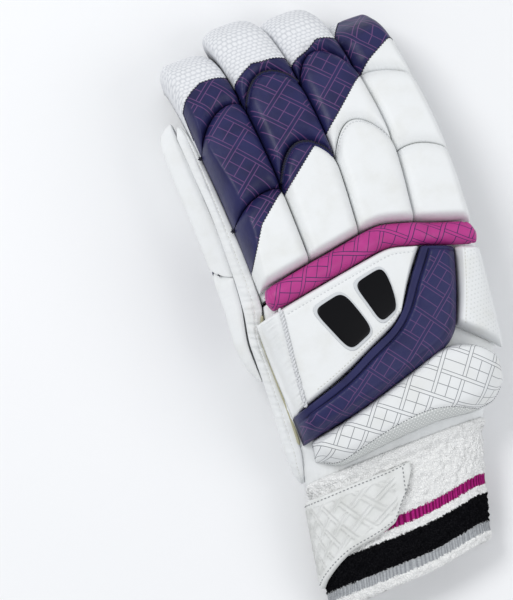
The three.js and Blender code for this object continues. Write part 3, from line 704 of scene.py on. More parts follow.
def towelling(name):
    """Looped cotton in bands: the chart's last value is the share of the cuff's length, as it was knitted."""
    paint = Paint(name)
    u, _, at = paint.split(paint.mark("chart", "Vector"))
    ragged = at + (paint.noise(1.1) - 0.5) * 0.05

    def band(limits):
        low, high = limits
        return ragged.rising(low - 0.006, low + 0.006) * (1 - ragged.rising(high - 0.006, high + 0.006))

    loops = paint.noise(0.8, 3)
    # The white terry is painted greyer away from the middle of each loop cell: a painted shade in the hollows
    # between loops, which also set the bump below.
    hollow = paint.cells(1.1).rising(0.25, 0.75)
    white = paint.blend(hollow * 0.5, (0.93, 0.93, 0.92, 1), (0.68, 0.69, 0.69, 1))
    # Painted shade: the pink and grey bands turn darker towards the edges of each rib, where its grooves
    # fall; the grey band is half this and half random loop noise.
    rib_shade = abs((u % 1.5) - 0.75).rising(0.2, 0.62)
    pink = paint.blend(rib_shade, MAGENTA, (0.16, 0.006, 0.07, 1))
    black = paint.blend(loops.rising(0.4, 0.8), (0.002, 0.002, 0.003, 1), (0.012, 0.012, 0.014, 1))
    grey = paint.blend(rib_shade * 0.5 + loops * 0.5, (0.52, 0.54, 0.56, 1), (0.24, 0.25, 0.27, 1))
    patch_clear = paint.mark("shows").rising(0.4, 0.6)
    colour = paint.blend(band(PINK_BAND) * patch_clear, white, pink)
    colour = paint.blend(band(BLACK_BAND), colour, black)
    colour = paint.blend(band(GREY_BAND), colour, grey)
    bumps = [(1 - hollow, 0.5, 0.7), (paint.noise(0.35), 0.2, 0.6)]
    return paint.finish(colour, 0.95, bumps, FLUFFY)


def strap_rubber(name):
    paint = Paint(name)
    colour = paint.blend(paint.noise(10, 3).rising(0.3, 0.9), (0.76, 0.77, 0.76, 1), (0.62, 0.63, 0.61, 1))
    bumps = [(paint.noise(0.4), 0.03, 0.4), (paint.noise(6), 0.2, 0.3)]
    return paint.finish(colour, 0.42 + paint.noise(3) * 0.12, bumps, SATIN)


def strap_tab_rubber(name):
    """Cream rubber with three thin grey slanted lines and a wide pink one."""
    paint = Paint(name)
    u, v, _ = paint.split(paint.mark("chart", "Vector"))
    colour = paint.blend(paint.noise(10, 3).rising(0.3, 0.9), (0.8, 0.79, 0.74, 1), (0.68, 0.67, 0.61, 1))
    slant = u + v * 0.35
    three = abs((slant % 3) - 1.5).rising(0.5, 0.8) * (slant > -5) * (slant < 4)
    colour = paint.blend(three, colour, GREY)
    colour = paint.blend((slant > 8) * (slant < 12.5), colour, PINK)
    return paint.finish(colour, 0.42, [(paint.noise(0.4), 0.03, 0.4)], SATIN)


def badge_rubber(name):
    paint = Paint(name)
    face = paint.mark("face").rising(-0.05, 0.05)
    colour = paint.blend(face, SILVER, (0.002, 0.002, 0.003, 1))
    rough = 0.3 + paint.noise(2) * 0.08
    return paint.finish(colour, rough, [(paint.noise(1.2), 0.05, 0.3)], SEMI_GLOSS)


def thread(name, colour, shade, roughness=0.7):
    paint = Paint(name)
    # Fine noise mixes in the shade colour: random tone of the spun fibres, and for the pale threads and the
    # cord also a painted shade between strands.
    spun_tone_and_shade = paint.noise(0.25).rising(0.3, 0.7)
    bumps = [(paint.noise(0.15, 1), 0.05, 0.6)]
    return paint.finish(paint.blend(spun_tone_and_shade, colour, shade), roughness, bumps, DULL)


MATERIALS = {
    "white_leather": plain_leather("white_leather"),
    "palm_leather": palm_leather("palm_leather"),
    "finger_leather": finger_leather("finger_leather"),
    "navy_lined": lined_leather("navy_lined", NAVY, NAVY_DEEP, VIOLET, 38, 0.85),
    "pink_lined": lined_leather("pink_lined", PINK, (0.4, 0.034, 0.2, 1), NAVY, 30, 1.0),
    "wrist_leather": wrist_leather("wrist_leather"),
    "dotted_leather": dotted_leather("dotted_leather"),
    "towelling": towelling("towelling"),
    "white_rubber": strap_rubber("white_rubber"),
    "tab_rubber": strap_tab_rubber("tab_rubber"),
    "badge_rubber": badge_rubber("badge_rubber"),
    "white_thread": thread("white_thread", (0.8, 0.8, 0.76, 1), (0.55, 0.55, 0.5, 1)),
    "black_thread": thread("black_thread", (0.012, 0.012, 0.02, 1), (0.04, 0.04, 0.06, 1)),
    "cord": thread("cord", (0.82, 0.83, 0.84, 1), (0.55, 0.56, 0.58, 1)),
    "black_piping": thread("black_piping", (0.01, 0.01, 0.012, 1), (0.03, 0.03, 0.035, 1), 0.4),
    # The grey thread is a painted shade: grey standing in for the shadows round pale stitches.
    "grey_thread": thread("grey_thread", (0.36, 0.37, 0.38, 1), (0.2, 0.21, 0.22, 1)),
    "navy_piping": thread("navy_piping", NAVY, NAVY_DEEP, 0.45),
    "cream_piping": thread("cream_piping", (0.5, 0.48, 0.33, 1), (0.36, 0.34, 0.22, 1), 0.5),
}


def grid(m, n, closed=False):
    """The four-sided faces of m rows of n points; closed joins each row's last point to its first."""
    i, j = np.meshgrid(np.arange(m - 1), np.arange(n if closed else n - 1), indexing="ij")
    k = (j + 1) % n
    return np.stack([i * n + j, (i + 1) * n + j, (i + 1) * n + k, i * n + k], -1).reshape(-1, 4)


def signed_volume(points, faces):
    total = 0
    for group in faces:
        for k in range(1, group.shape[1] - 1):
            a, b, c = (points[group[:, corner]] for corner in (0, k, k + 1))
            total += np.einsum("ij,ij->", a, np.cross(b, c))
    return total


def built(name, points, faces, material, marks=None):
    """A smooth mesh of points in millimetres, with its outside facing out and no loose points."""
    points = np.asarray(points, float).reshape(-1, 3) * MM
    used = np.unique(np.concatenate([group.ravel() for group in faces]))
    lookup = np.zeros(len(points), int)
    lookup[used] = np.arange(len(used))
    faces = [lookup[group] for group in faces]
    points = points[used]
    if signed_volume(points, faces) < 0:
        faces = [group[:, ::-1] for group in faces]
    mesh = bpy.data.meshes.new(name)
    mesh.vertices.add(len(points))
    mesh.vertices.foreach_set("co", points.astype(np.float32).ravel())
    corners = np.concatenate([group.ravel() for group in faces])
    sizes = np.concatenate([np.full(len(group), group.shape[1]) for group in faces])
    mesh.loops.add(len(corners))
    mesh.loops.foreach_set("vertex_index", corners.astype(np.int32))
    mesh.polygons.add(len(sizes))
    starts = np.concatenate([[0], np.cumsum(sizes)[:-1]])
    mesh.polygons.foreach_set("loop_start", starts.astype(np.int32))
    mesh.update(calc_edges=True)
    mesh.validate()
    mesh.shade_smooth()
    for key, values in (marks or {}).items():
        values = np.asarray(values, np.float32)
        kind = "FLOAT_VECTOR" if values.shape[-1] == 3 and values.ndim > 1 else "FLOAT"
        values = values.reshape(-1, 3)[used] if kind == "FLOAT_VECTOR" else values.ravel()[used]
        layer = mesh.attributes.new(key, kind, "POINT")
        layer.data.foreach_set("vector" if kind == "FLOAT_VECTOR" else "value", values.ravel())
    thing = bpy.data.objects.new(name, mesh)
    bpy.context.scene.collection.objects.link(thing)
    mesh.materials.append(MATERIALS[material])
    return thing


def piece(thing, nodes=()):
    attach(thing, "root")
    if nodes:
        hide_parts(*nodes)
    return thing


def walled(top, under, closed=False, shut=False):
    """Points and faces of a skin with a thickness: two like grids, and a rim where their edges are open.

    closed joins the ends of each row, and shut puts a cap on the last one.
    """
    m, n = top.shape[:2]
    count = m * n
    faces = grid(m, n, closed)
    starts, ends = faces.ravel(), np.roll(faces, -1, axis=1).ravel()
    edge = ~np.isin(starts * count + ends, ends * count + starts)
    if shut:
        edge &= ~((starts >= count - n) & (ends >= count - n))
    a, b = starts[edge], ends[edge]
    rim = np.stack([b, a, a + count, b + count], -1)
    groups = [np.concatenate([faces, faces[:, ::-1] + count, rim])]
    if shut:
        last = np.arange(count - n, count)
        groups.append(np.stack([last[::-1], last + count]))
    return np.concatenate([top.reshape(-1, 3), under.reshape(-1, 3)]), groups


def filled(top, under):
    """Points and faces of a closed cushion: two grids that share their border points."""
    m, n = top.shape[:2]
    count = m * n
    same = np.zeros((m, n), bool)
    same[[0, -1]] = same[:, [0, -1]] = True
    low = np.where(same.ravel(), np.arange(count), np.arange(count) + count)
    faces = grid(m, n)
    points = np.concatenate([top.reshape(-1, 3), under.reshape(-1, 3)])
    return points, [np.concatenate([faces, low[faces[:, ::-1]]])]


def bar(rings):
    """Points and faces of a solid through closed rings of points, with a cap at each end."""
    m, n = rings.shape[:2]
    first, last = np.arange(n), np.arange(m * n - n, m * n)
    return rings.reshape(-1, 3), [grid(m, n, True), np.stack([first, last[::-1]])]


def twice(marks):
    """The marks of a grid's points, for its outside and again for its inside."""
    return {key: np.concatenate([v.reshape(-1, *v.shape[2:])] * 2) for key, v in marks.items()}


def stations(count, ease=1.0):
    """Places from -1 to 1, closer together near the ends as ease goes to 1."""
    t = np.linspace(-1, 1, count)
    return mix(t, np.sin(t * math.pi / 2), ease)


def all_round(count):
    return np.linspace(0, 2 * np.pi, count, endpoint=False)


def unit(v):
    return v / np.maximum(np.linalg.norm(v, axis=-1, keepdims=True), 1e-9)


def distances(line):
    """How far along a line each of its points is."""
    return np.concatenate([[0], np.cumsum(np.linalg.norm(np.diff(line, axis=0), axis=1))])


def resampled(line, gap):
    travelled = distances(line)
    at = np.linspace(0, travelled[-1], max(int(travelled[-1] / gap), 3))
    return np.stack([np.interp(at, travelled, line[:, k]) for k in range(3)], -1)


def bell(distance, width):
    """1 on a line and falling off over about a width on both sides, as a stitched channel does."""
    return np.exp(-((distance / width) ** 2))


def rounded(distance, reach, power=SOFT_CORNER):
    return (1 - (1 - clamp(distance / reach)) ** power) ** (1 / power)


def gathers(along, seed):
    """An uneven ripple from -1 to 1 along a seam in millimetres, where thread draws the leather in."""
    waves = ((2.1, 0.35), (3.4, 0.4), (5.7, 0.25))
    turn = lambda k, span: 2 * math.pi * along / span + seed * (k + 1.7) * 2.3
    return sum(share * np.sin(turn(k, span)) for k, (span, share) in enumerate(waves))


def normals_of(points):
    """The direction that a grid of points faces, at each point."""
    return unit(np.cross(np.gradient(points, axis=0), np.gradient(points, axis=1)))


THREADS = {"white_thread": [], "black_thread": [], "grey_thread": [], "cord": []}


def sew(kind, line, facing, gap, length, width, slant=0, zigzag=False):
    """A row of stitches along a line of points that faces the given ways."""
    travelled = distances(line)
    count = max(int(travelled[-1] / gap), 1)
    at = (np.arange(count) + 0.5) * travelled[-1] / count
    pick = lambda values: np.stack([np.interp(at, travelled, values[:, k]) for k in range(3)], -1)
    ahead, up = unit(pick(np.gradient(line, axis=0))), unit(pick(facing))
    side = unit(np.cross(up, ahead))
    turn = np.full(count, math.radians(slant))
    if zigzag:
        turn[::2] *= -1
    turn = turn[:, None]
    along = ahead * np.cos(turn) + side * np.sin(turn)
    across = unit(np.cross(up, along))
    THREADS[kind].append((pick(line), along * length / 2, across * width / 2, up * width / 2))


def sewn_threads(kind, name):
    """All the stitches of one thread as one piece, each a short bead with a point at both ends."""
    rings, sides = 3, 6
    tilt = np.pi * (np.arange(rings) + 1) / (rings + 1)
    turn = all_round(sides)
    radius = np.repeat(np.sin(tilt) ** 0.6, sides)
    a = np.concatenate([[1], np.repeat(np.cos(tilt), sides), [-1]])
    b = np.concatenate([[0], radius * np.tile(np.cos(turn), rings), [0]])
    c = np.concatenate([[0], radius * np.tile(np.sin(turn), rings), [0]])
    middle, along, side, up = (np.concatenate(part)[:, None] for part in zip(*THREADS[kind]))
    points = middle + along * a[:, None] + side * b[:, None] + up * c[:, None]
    this = np.arange(sides)
    following, last = (this + 1) % sides, 1 + (rings - 1) * sides
    start = np.stack([0 * this, 1 + this, 1 + following], -1)
    end = np.stack([0 * this + len(a) - 1, last + following, last + this], -1)
    offset = (np.arange(len(middle)) * len(a))[:, None, None]
    groups = ((grid(rings, sides, True) + 1, 4), (np.concatenate([start, end]), 3))
    faces = [(group[None] + offset).reshape(-1, corners) for group, corners in groups]
    piece(built(name, points, faces, kind))


def tube(name, line, facing, radius, material, sides=10, strands=1, pitch=3.0):
    """A round cord along a line; with two strands they twist round each other once in a pitch."""
    travelled = distances(line)
    ahead = unit(np.gradient(line, axis=0))
    side = unit(np.cross(facing, ahead))
    up = np.cross(ahead, side)
    turn = all_round(sides)[:, None]
    ends = np.minimum(np.arange(len(line)), np.arange(len(line))[::-1])
    thin = np.where(ends == 0, 0.45, np.where(ends == 1, 0.85, 1))[:, None, None]
    size = radius * (0.6 if strands > 1 else 1)
    rim = size * thin * (side[:, None] * np.cos(turn) + up[:, None] * np.sin(turn))
    points, faces, first = [], [], 0
    for strand in range(strands):
        middle = line
        if strands > 1:
            wind = (2 * np.pi * (travelled / pitch + strand / strands))[:, None]
            middle = line + (side * np.cos(wind) + up * np.sin(wind)) * radius * 0.5
        some, groups = bar(middle[:, None] + rim)
        points.append(some)
        faces += [group + first for group in groups]
        first += len(some)
    piece(built(name, np.concatenate(points), faces, material))


class Pad:
    """A padded piece: place(p, q, h) for p and q from -1 to 1, how high it stands and where it starts."""

    def __init__(self, place, stands, starts):
        self.place, self.stands, self.starts = place, stands, starts

    def top(self, p, q):
        p, q = np.broadcast_arrays(p, q)
        return self.place(p, q, self.starts(p, q) + self.stands(p, q))

    def facing(self, p, q):
        step = 0.004
        p, q = np.broadcast_arrays(np.asarray(p, float), np.asarray(q, float))
        ahead = self.top(np.minimum(p + step, 1), q) - self.top(np.maximum(p - step, -1), q)
        across = self.top(p, np.minimum(q + step, 1)) - self.top(p, np.maximum(q - step, -1))
        return unit(np.cross(across, ahead))

    def line(self, p, q, lift=0.0):
        """Points on the pad's cover or lifted off it, and the ways that they face."""
        facing = self.facing(p, q)
        if np.mean(facing[..., 2]) < -0.2:
            facing = -facing
        return self.top(p, q) + facing * lift, facing

    def made(self, node, slot, fill, rows, columns, material, marks=lambda p, q: {}):
        p, q = np.meshgrid(rows, columns, indexing="ij")
        points, faces = filled(self.top(p, q), self.place(p, q, self.starts(p, q)))
        piece(built(f"{node}_leather", points, faces, material, twice(marks(p, q))), [node])


def seam_at(points, q):
    return np.interp(q, [a for a, _ in points], [b for _, b in points])


def finger_pad(name, line, start, end, tipped=False, rooted=False):
    """One leather pad of a finger, between two creases or the finger's ends, and the zigzags on its seams."""
    slot, navy_seam, mesh_seam = FINGER_PADS[name]
    sink = CREASE_SINK["white" if slot == "white_leather" or name.startswith("ring_middle") else "navy"]
    finger = name.split("_")[0]
    seed = sum(map(ord, name)) * 0.37
    length = line["length"]
    share = lambda p, q: mix(start(q), end(q), (p + 1) / 2)
    turned = lambda s: clamp((s - TIP_START) / (1 - TIP_START))

    def narrowed(s):
        return FINGER_PAD_HALF * (1 - TIP_NARROWS * turned(s) ** 2)

    def place(p, q, h):
        s = share(p, q)
        swollen = SWELL * smooth(h / 3)
        ahead = smooth((p - 0.9) * 10) * (not tipped) - smooth((-p - 0.9) * 10) * (not rooted)
        s = s + ahead * swollen / length
        return finger_point(line, s, q * (narrowed(s) + swollen), h)

    def starts(p, q):
        skirt = smooth((np.abs(q) - SKIRT_FROM) / (1 - SKIRT_FROM))
        seat = np.where(share(p, q) > TIP_START - (1 - TIP_START) / 2, TIP_SEAT, GAP)
        return mix(seat, -FINGER_SKIRT, skirt)

    def creased(distance, low, reach):
        return rounded(distance, CREASE_EDGE) * mix(low, 1, rounded(distance, reach, 2))

    def side(s, q, direction):
        distance = (1 - direction * q) * FINGER_PAD_HALF
        if finger == "index" and direction < 0:
            return rounded(distance, column(INDEX_BEVEL, "reach", s), 1.7)
        if finger == "little" and direction > 0:
            return rounded(distance, OUTER_ROUND)
        return creased(distance, sink, 11 if tipped else SIDE_ROUND)

    def stands(p, q):
        s = share(p, q)
        beyond = 2 * turned(s)
        full = mix(FINGER_PAD, TIP_PAD, smooth(beyond)) * (1 - TIP_THINS * smooth(beyond - 1)) - starts(p, q)
        along = (end(q) - start(q)) * length
        near, far = (1 + p) / 2 * along, (1 - p) / 2 * along
        shape = side(s, q, 1) * side(s, q, -1)
        shape = shape * (rounded(near, END_ROUND) if rooted else creased(near, sink, CREASE_ROUND))
        shape = shape * (rounded(far, FINGERTIP_ROUND) if tipped else creased(far, sink, CREASE_ROUND))
        shape = shape * (1 - PAD_DOME * (q**2 + p**2))
        flank = (1 - np.abs(q)) * FINGER_PAD_HALF
        edge = np.minimum(np.minimum(near, far), flank)
        drawn = np.exp(-np.minimum(near, far) / GATHER_REACH) * gathers(q * FINGER_PAD_HALF, seed)
        drawn = drawn + np.exp(-flank / GATHER_REACH) * gathers(s * length, seed + 3) * 0.5
        rise = full * shape + GATHER_DEPTH * drawn * np.minimum(edge, 1) * smooth(shape * 2)
        for seam in (navy_seam, mesh_seam):
            rise = rise - 0.5 * bell((s - seam_at(seam, q)) * length, 1.1) * smooth(edge / 3)
        if tipped:
            knitted = smooth(mesh_depth(s, q) / 1.5) * smooth(edge / 2)
            rise = rise + SCALE_RISE * (scales(s, q) - 0.5) * knitted
        return np.maximum(rise, 0)

    def mesh_depth(s, q):
        return (s - seam_at(mesh_seam, q)) * length

    def scales(s, q):
        row = s * length / SCALE_ROW
        across = q * narrowed(s) / SCALE_WIDTH + 0.5 * (np.floor(row) % 2)
        return np.sin(np.pi * (across % 1)) ** 0.6 * np.sin(np.pi * (row % 1) ** 0.75) ** 0.8

    def marks(p, q):
        s = share(p, q)
        left, right = (1 + q) * FINGER_PAD_HALF, (1 - q) * FINGER_PAD_HALF
        if finger == "index":
            left = left - column(INDEX_BEVEL, "reach", s) * 0.75
        return {
            "chart": point(q * FINGER_PAD_HALF + line["x"] * 1.3, s * length, 0),
            "navy": (s - seam_at(navy_seam, q)) * length * SEAM_SLOPE,
            "mesh": mesh_depth(s, q),
            "face": np.minimum(left, right) - 0.7,
            # weave: the knit scales, whose hollows the finger leather paints greyer as painted shade
            "weave": scales(s, q),
        }

    pad = Pad(place, stands, starts)
    long_side = (end(0) - start(0)) * length
    if tipped:
        rows, columns = stations(int(long_side / 0.4), 0.35), stations(84, 0.45)
    else:
        rows, columns = stations(int(long_side / 0.75), 0.85), stations(52, 0.85)
    pad.made(name, slot, 0.9, rows, columns, "finger_leather", marks)
    for seam in (navy_seam, mesh_seam):
        q = np.linspace(-0.97, 0.97, 80)
        p = (seam_at(seam, q) - start(q)) / (end(q) - start(q)) * 2 - 1
        on = (p > -0.97) & (p < 0.985)
        if on.sum() > 6:
            spots, facing = pad.line(p[on], q[on], 0.12)
            sew("black_thread", spots, facing, 0.95, 1.5, 0.5, slant=38, zigzag=True)
    return pad


def crease_trim(pads, finger, joint, kind):
    """What is sewn into a crease: a navy piping under a black rope, or a row of white stitches."""
    q = np.linspace(-0.9, 0.9, 70)
    lower = pads["base" if joint == "low" else "middle"]
    spots, facing = lower.line(0 * q + 0.93, q)
    if kind == "rope":
        line = resampled(spots, 0.5)
        ways = facing[np.linspace(0, len(facing) - 1, len(line)).astype(int)]
        tube(f"{finger}_{joint}_piping", line, ways, 1.25, "navy_piping", sides=12)
        tube(f"{finger}_{joint}_rope", line + ways * 0.9, ways, 1.0, "black_thread", 6, strands=2, pitch=3.2)
    else:
        sew("cord", spots + facing * 0.2, facing, 2.0, 1.4, 0.8)


def knot(spot, up):
    """Three short loops of black thread, pulled tight."""
    for turn in np.radians((0, 55, 110)):
        line = spot + np.outer(np.linspace(-1.3, 1.3, 9), (math.cos(turn), math.sin(turn), 0))
        sew("black_thread", line, line * 0 + up, 0.9, 1.9, 1.0, slant=20)


def finger_pads(finger):
    line = LINES[finger]
    length = line["length"]
    creases = [crease(row, shift, length) for row in CREASES[finger] for shift in (-1, 1)]
    whole = lambda q: np.ones_like(np.asarray(q, float))
    pads = {
        "base": finger_pad(f"{finger}_base_pad", line, finger_root(line), creases[0], rooted=True),
        "middle": finger_pad(f"{finger}_middle_pad", line, creases[1], creases[2]),
        "tip": finger_pad(f"{finger}_tip_pad", line, creases[3], whole, tipped=True),
    }
    for joint, kind in CREASE_TRIMS.get(finger, ()):
        crease_trim(pads, finger, joint, kind)
    for joint in KNOTS.get(finger, ()):
        pad = pads["base" if joint == "low" else "middle"]
        spots, facing = pad.line(np.array([0.97, 0.985, 1.0]), np.full(3, KNOT_SIDE), 1.0)
        knot(spots[1], facing[1])


def closed_end(rings, shares):
    """Rings of points, and smaller ones after the last that close its end: shares of its size."""
    last = rings[-1]
    return np.concatenate([rings, [mix(last.mean(0), last, share) for share in shares]])


def finger_stall(finger):
    line, name, end = LINES[finger], f"{finger}_stall", (0.8, 0.5, 0.2)
    s = mix(GAP / line["length"], 1, np.linspace(0, 1, 80))[:, None]
    turn = all_round(60)
    palm = smooth(-np.sin(turn) * 1.5)
    folds = 0.5 * gathers(s * line["length"] * 0.6, line["x"]) * palm
    outer = closed_end(stall_point(line, s, turn, folds * 0.5), end)
    inner = closed_end(stall_point(line, s, turn, -LEATHER), end)
    points, faces = walled(outer, inner, closed=True, shut=True)
    around = np.broadcast_to(turn / (2 * np.pi) * 76, outer.shape[:2])
    along = np.concatenate([s[:, 0] * line["length"], [line["length"]] * len(end)])[:, None]
    marks = {"chart": point(around, along, 0)}
    piece(built(f"{name}_leather", points, faces, "palm_leather", twice(marks)), [name])


def solid_ring(name, rings):
    points, faces = bar(rings)
    return built(name, points, faces, "white_leather")


def cut_away(body, *cutters):
    """Takes the solids of the cutters off a body, and deletes them."""
    for cutter in cutters:
        modifier = body.modifiers.new("cut", "BOOLEAN")
        modifier.operation, modifier.solver, modifier.object = "DIFFERENCE", "EXACT", cutter
    bpy.context.view_layer.update()
    mesh = bpy.data.meshes.new_from_object(body.evaluated_get(bpy.context.evaluated_depsgraph_get()))
    body.modifiers.clear()
    body.data = mesh
    for cutter in cutters:
        bpy.data.objects.remove(cutter)
    mesh.shade_smooth()


def hand_shell():
    at = np.linspace(0, 1, 60)[:, None]
    turn = np.linspace(0, 2 * np.pi, 200, endpoint=False)[None]
    side = smooth((0.5 - np.abs(np.sin(turn))) * 3)
    folds = 0.8 * gathers(at * 60, 2.2) * side * smooth(at * 6) * smooth((1 - at) * 6)
    drawn = 0.7 * gathers(turn * 34, 1.9) * bell(at - 0.06, 0.04) * smooth(np.sin(turn) * 2)
    folds = folds + drawn
    outer, inner = hand_point(turn, at, folds * 0.5), hand_point(turn, at, -LEATHER + 0 * at)
    points, faces = walled(outer, inner, closed=True)
    marks = {"chart": point(turn / (2 * np.pi) * 260, at * 110, 0)}
    body = built("hand_shell_leather", points, faces, "palm_leather", twice(marks))
    t = np.linspace(-0.02, 0.86, 24)[:, None]
    around = np.linspace(0, 2 * np.pi, 40, endpoint=False)[None]
    cutter = solid_ring("thumb_hollow", thumb_stall_point(t, around, -LEATHER + 0 * t))
    cut_away(body, cutter)
    piece(body, ["hand_shell"])


def thumb_stall():
    t = np.linspace(0.02, 0.88, 70)[:, None]
    turn = np.linspace(0, 2 * np.pi, 72, endpoint=False)[None]
    folds = 0.5 * gathers(t * 90, 5.1) * (1 + 0 * turn)
    end = (0.75, 0.4, 0.15)
    outer = closed_end(thumb_stall_point(t, turn, folds * 0.4), end)
    inner = closed_end(thumb_stall_point(t, turn, -LEATHER + 0 * t), end)
    points, faces = walled(outer, inner, closed=True, shut=True)
    m, n = outer.shape[:2]
    marks = {"chart": point(np.broadcast_to(turn * 8, (m, n)), np.linspace(0, 140, m)[:, None], 0)}
    body = built("thumb_stall_leather", points, faces, "palm_leather", twice(marks))
    at = np.linspace(0, 1, 30)[:, None]
    around = np.linspace(0, 2 * np.pi, 96, endpoint=False)[None]
    hand = solid_ring("hand_form", hand_point(around, at, GAP + 0 * at))
    line = LINES["index"]
    s = np.linspace(-0.1, 1, 40)[:, None]
    index = solid_ring("index_form", stall_point(line, s, around, GAP + 0 * s))
    cut_away(body, hand, index)
    piece(body, ["thumb_stall"])


def back_pad(rows, end=0.0, near=0.0, far=0.0):
    """Where a pad of the back lies; its stuffing pushes its last end and its sides out over their seams."""
    count = len(rows["u1"])
    named = {**rows, "row": np.arange(count)}

    def place(p, q, h):
        at = (p + 1) / 2 * (count - 1)
        u1, v1, u2, v2 = (column(named, key, at, "row") for key in ("u1", "v1", "u2", "v2"))
        t = (q + 1) / 2
        spots = back_point(mix(u1, u2, t), mix(v1, v2, t), h)
        across = (back_point(u2, v2, 0) - back_point(u1, v1, 0)) * (1, 1, 0)
        across = across / np.linalg.norm(across, axis=-1, keepdims=True)
        out = far * smooth((q - 0.7) * 3.4) - near * smooth((-q - 0.7) * 3.4)
        ahead = end * smooth((p - 0.85) * 6.7)
        full = smooth(h / 3)
        return spots + across * (out * full)[..., None] + point(ahead * full, 0, 0)

    return place


def pulled_over(pad, p, q):
    """The chart of leather pulled over a pad: where it lies on the back, and on down the pad's long sides."""
    top = pad.top(p, q)
    travelled = np.cumsum(np.linalg.norm(np.diff(top, axis=1, prepend=top[:, :1]), axis=-1), axis=1)
    middle = p.shape[1] // 2
    across = pad.place(p, 0 * q + 1, 0 * p) - pad.place(p, 0 * q - 1, 0 * p)
    across = across[..., :2] / np.linalg.norm(across[..., :2], axis=-1, keepdims=True)
    flat = top[:, middle:middle + 1, :2] + across * (travelled - travelled[:, middle:middle + 1])[..., None]
    return point(flat[..., 0], flat[..., 1], 0)


def spans(place, p, q):
    """How many millimetres a piece is long and wide where p and q lie."""
    long = np.linalg.norm(place(0 * p + 1, q, 0 * p) - place(0 * p - 1, q, 0 * p), axis=-1)
    wide = np.linalg.norm(place(p, 0 * q + 1, 0 * p) - place(p, 0 * q - 1, 0 * p), axis=-1)
    return long, wide


def seated(p, q):
    return SEAT + 0 * p


def sew_side(pad, p, side, inset, lift, kind, **stitch):
    """Stitches along the long side -1 or 1 of a pad, inset millimetres from it."""
    _, wide = spans(pad.place, p, 0 * p)
    spots, facing = pad.line(p, side * (1 - 2 * inset / wide), lift)
    sew(kind, spots, facing, **stitch)


def back_panel():
    """The white panel: a plateau inside a twisted cord, a steep left wall and a thin flange under it."""
    place = back_pad(PANEL, end=PANEL_OUT, far=PANEL_OUT)
    edge = lambda q: -0.83 - 0.055 * q
    foot, flange = 0.035, 2 / (PANEL_PAD - SEAT)
    low_seam, high_seam = 5.2, 3.6

    def stands(p, q):
        _, wide = spans(place, p, q)
        wall = clamp((p + 1 - foot) / (edge(q) + 1 - foot))
        left = mix(flange * rounded((p + 1) * 36, 0.9), 1, (1 - (1 - wall) ** 2.1) ** (1 / 2.1))
        top = rounded((1 + q) / 2 * wide, 2.4) * rounded((1 - q) / 2 * wide, 3.2)
        right = rounded((1 - p) * 22, 2.2)
        rope = bell((p - edge(q)) * 36, 1.3)
        folds = gathers(q * 40, 1.1) * bell((p + 0.905) * 22, 1) * 0.9
        seam = bell((1 + q) / 2 * wide - low_seam, 0.8) * smooth((p + 0.78) * 12) * smooth((0.97 - p) * 12)
        full = (PANEL_PAD - SEAT) * (1 - 0.03 * q**2)
        rise = full * left * top * right - 0.7 * rope - 0.45 * seam
        return np.maximum(rise + folds * smooth(wall * 4) * smooth((1 - np.abs(q)) * 8), 0)

    pad = Pad(place, stands, seated)
    parts = ((-1, -0.7, 46), (-0.7, 0.8, 50), (0.8, 1, 20))
    rows = np.unique(np.concatenate([np.linspace(*part) for part in parts]))
    pad.made("back_panel", "white_leather", 0.9, rows, stations(80, 0.75), "white_leather")
    q = np.linspace(-0.95, 0.95, 160)
    spots, facing = pad.line(edge(q), q, 0.85)
    line = resampled(spots, 0.45)
    tube("panel_rope", line, facing.mean(0) + 0 * line, 1.25, "cord", sides=8, strands=2, pitch=4.2)
    p = np.linspace(-0.74, 0.93, 160)
    sew_side(pad, p, -1, low_seam, 0.1, "cord", gap=2.4, length=1.3, width=0.75)
    sew_side(pad, p, 1, high_seam, 0.1, "white_thread", gap=2.2, length=1.3, width=0.5)
    return pad


def chevron_pad():
    """The bent navy pad: a plain flat band beside the panel, sewn down to a raised and printed part."""
    place = back_pad(CHEVRON, near=CHEVRON_OUT, far=CHEVRON_UNDER)
    band = 4.6

    def from_band(p, q):
        long, wide = spans(place, p, q)
        across, along = (1 + q) / 2 * wide, (1 + p) / 2 * long
        return np.minimum(across, along * 1.15 + 1.2)

    def stands(p, q):
        long, wide = spans(place, p, q)
        inward = from_band(p, q)
        groove = bell(inward - band, 0.75)
        raised = rounded(inward - band, 4.5)
        shape = mix(0.86 * rounded((1 + q) / 2 * wide, 1.1), 1, raised)
        shape = shape * rounded((1 - q) / 2 * wide, 6.5)
        shape = shape * rounded((1 + p) / 2 * long, 2.2) * rounded((1 - p) / 2 * long, 5)
        drawn = gathers(p * 70, 4.4) * np.exp(-((1 - q) / 2 * wide) / 2.2) * 0.4
        drawn = drawn + gathers(p * 90, 1.4) * np.exp(-np.abs(inward - band - 1.5) / 1.5) * 0.25
        full = CHEVRON_PAD - SEAT
        return np.maximum(full * shape - groove * 0.9 + drawn * smooth(shape * 2), 0)

    pad = Pad(place, stands, seated)

    def marks(p, q):
        return {"chart": pulled_over(pad, p, q), "face": from_band(p, q) - band - 0.8}

    parts = [np.linspace(-1, -0.5, 38), np.linspace(-0.5, 0.6, 18), stations(60, 0.8)[44:]]
    across = np.unique(np.concatenate(parts))
    pad.made("chevron_pad", "navy_leather", 0.9, stations(170, 0.35), across, "navy_lined", marks)
    p = np.linspace(-0.94, 0.95, 260)
    sew_side(pad, p, -1, band - 0.1, 0.2, "black_thread", gap=1.5, length=1.35, width=0.55)


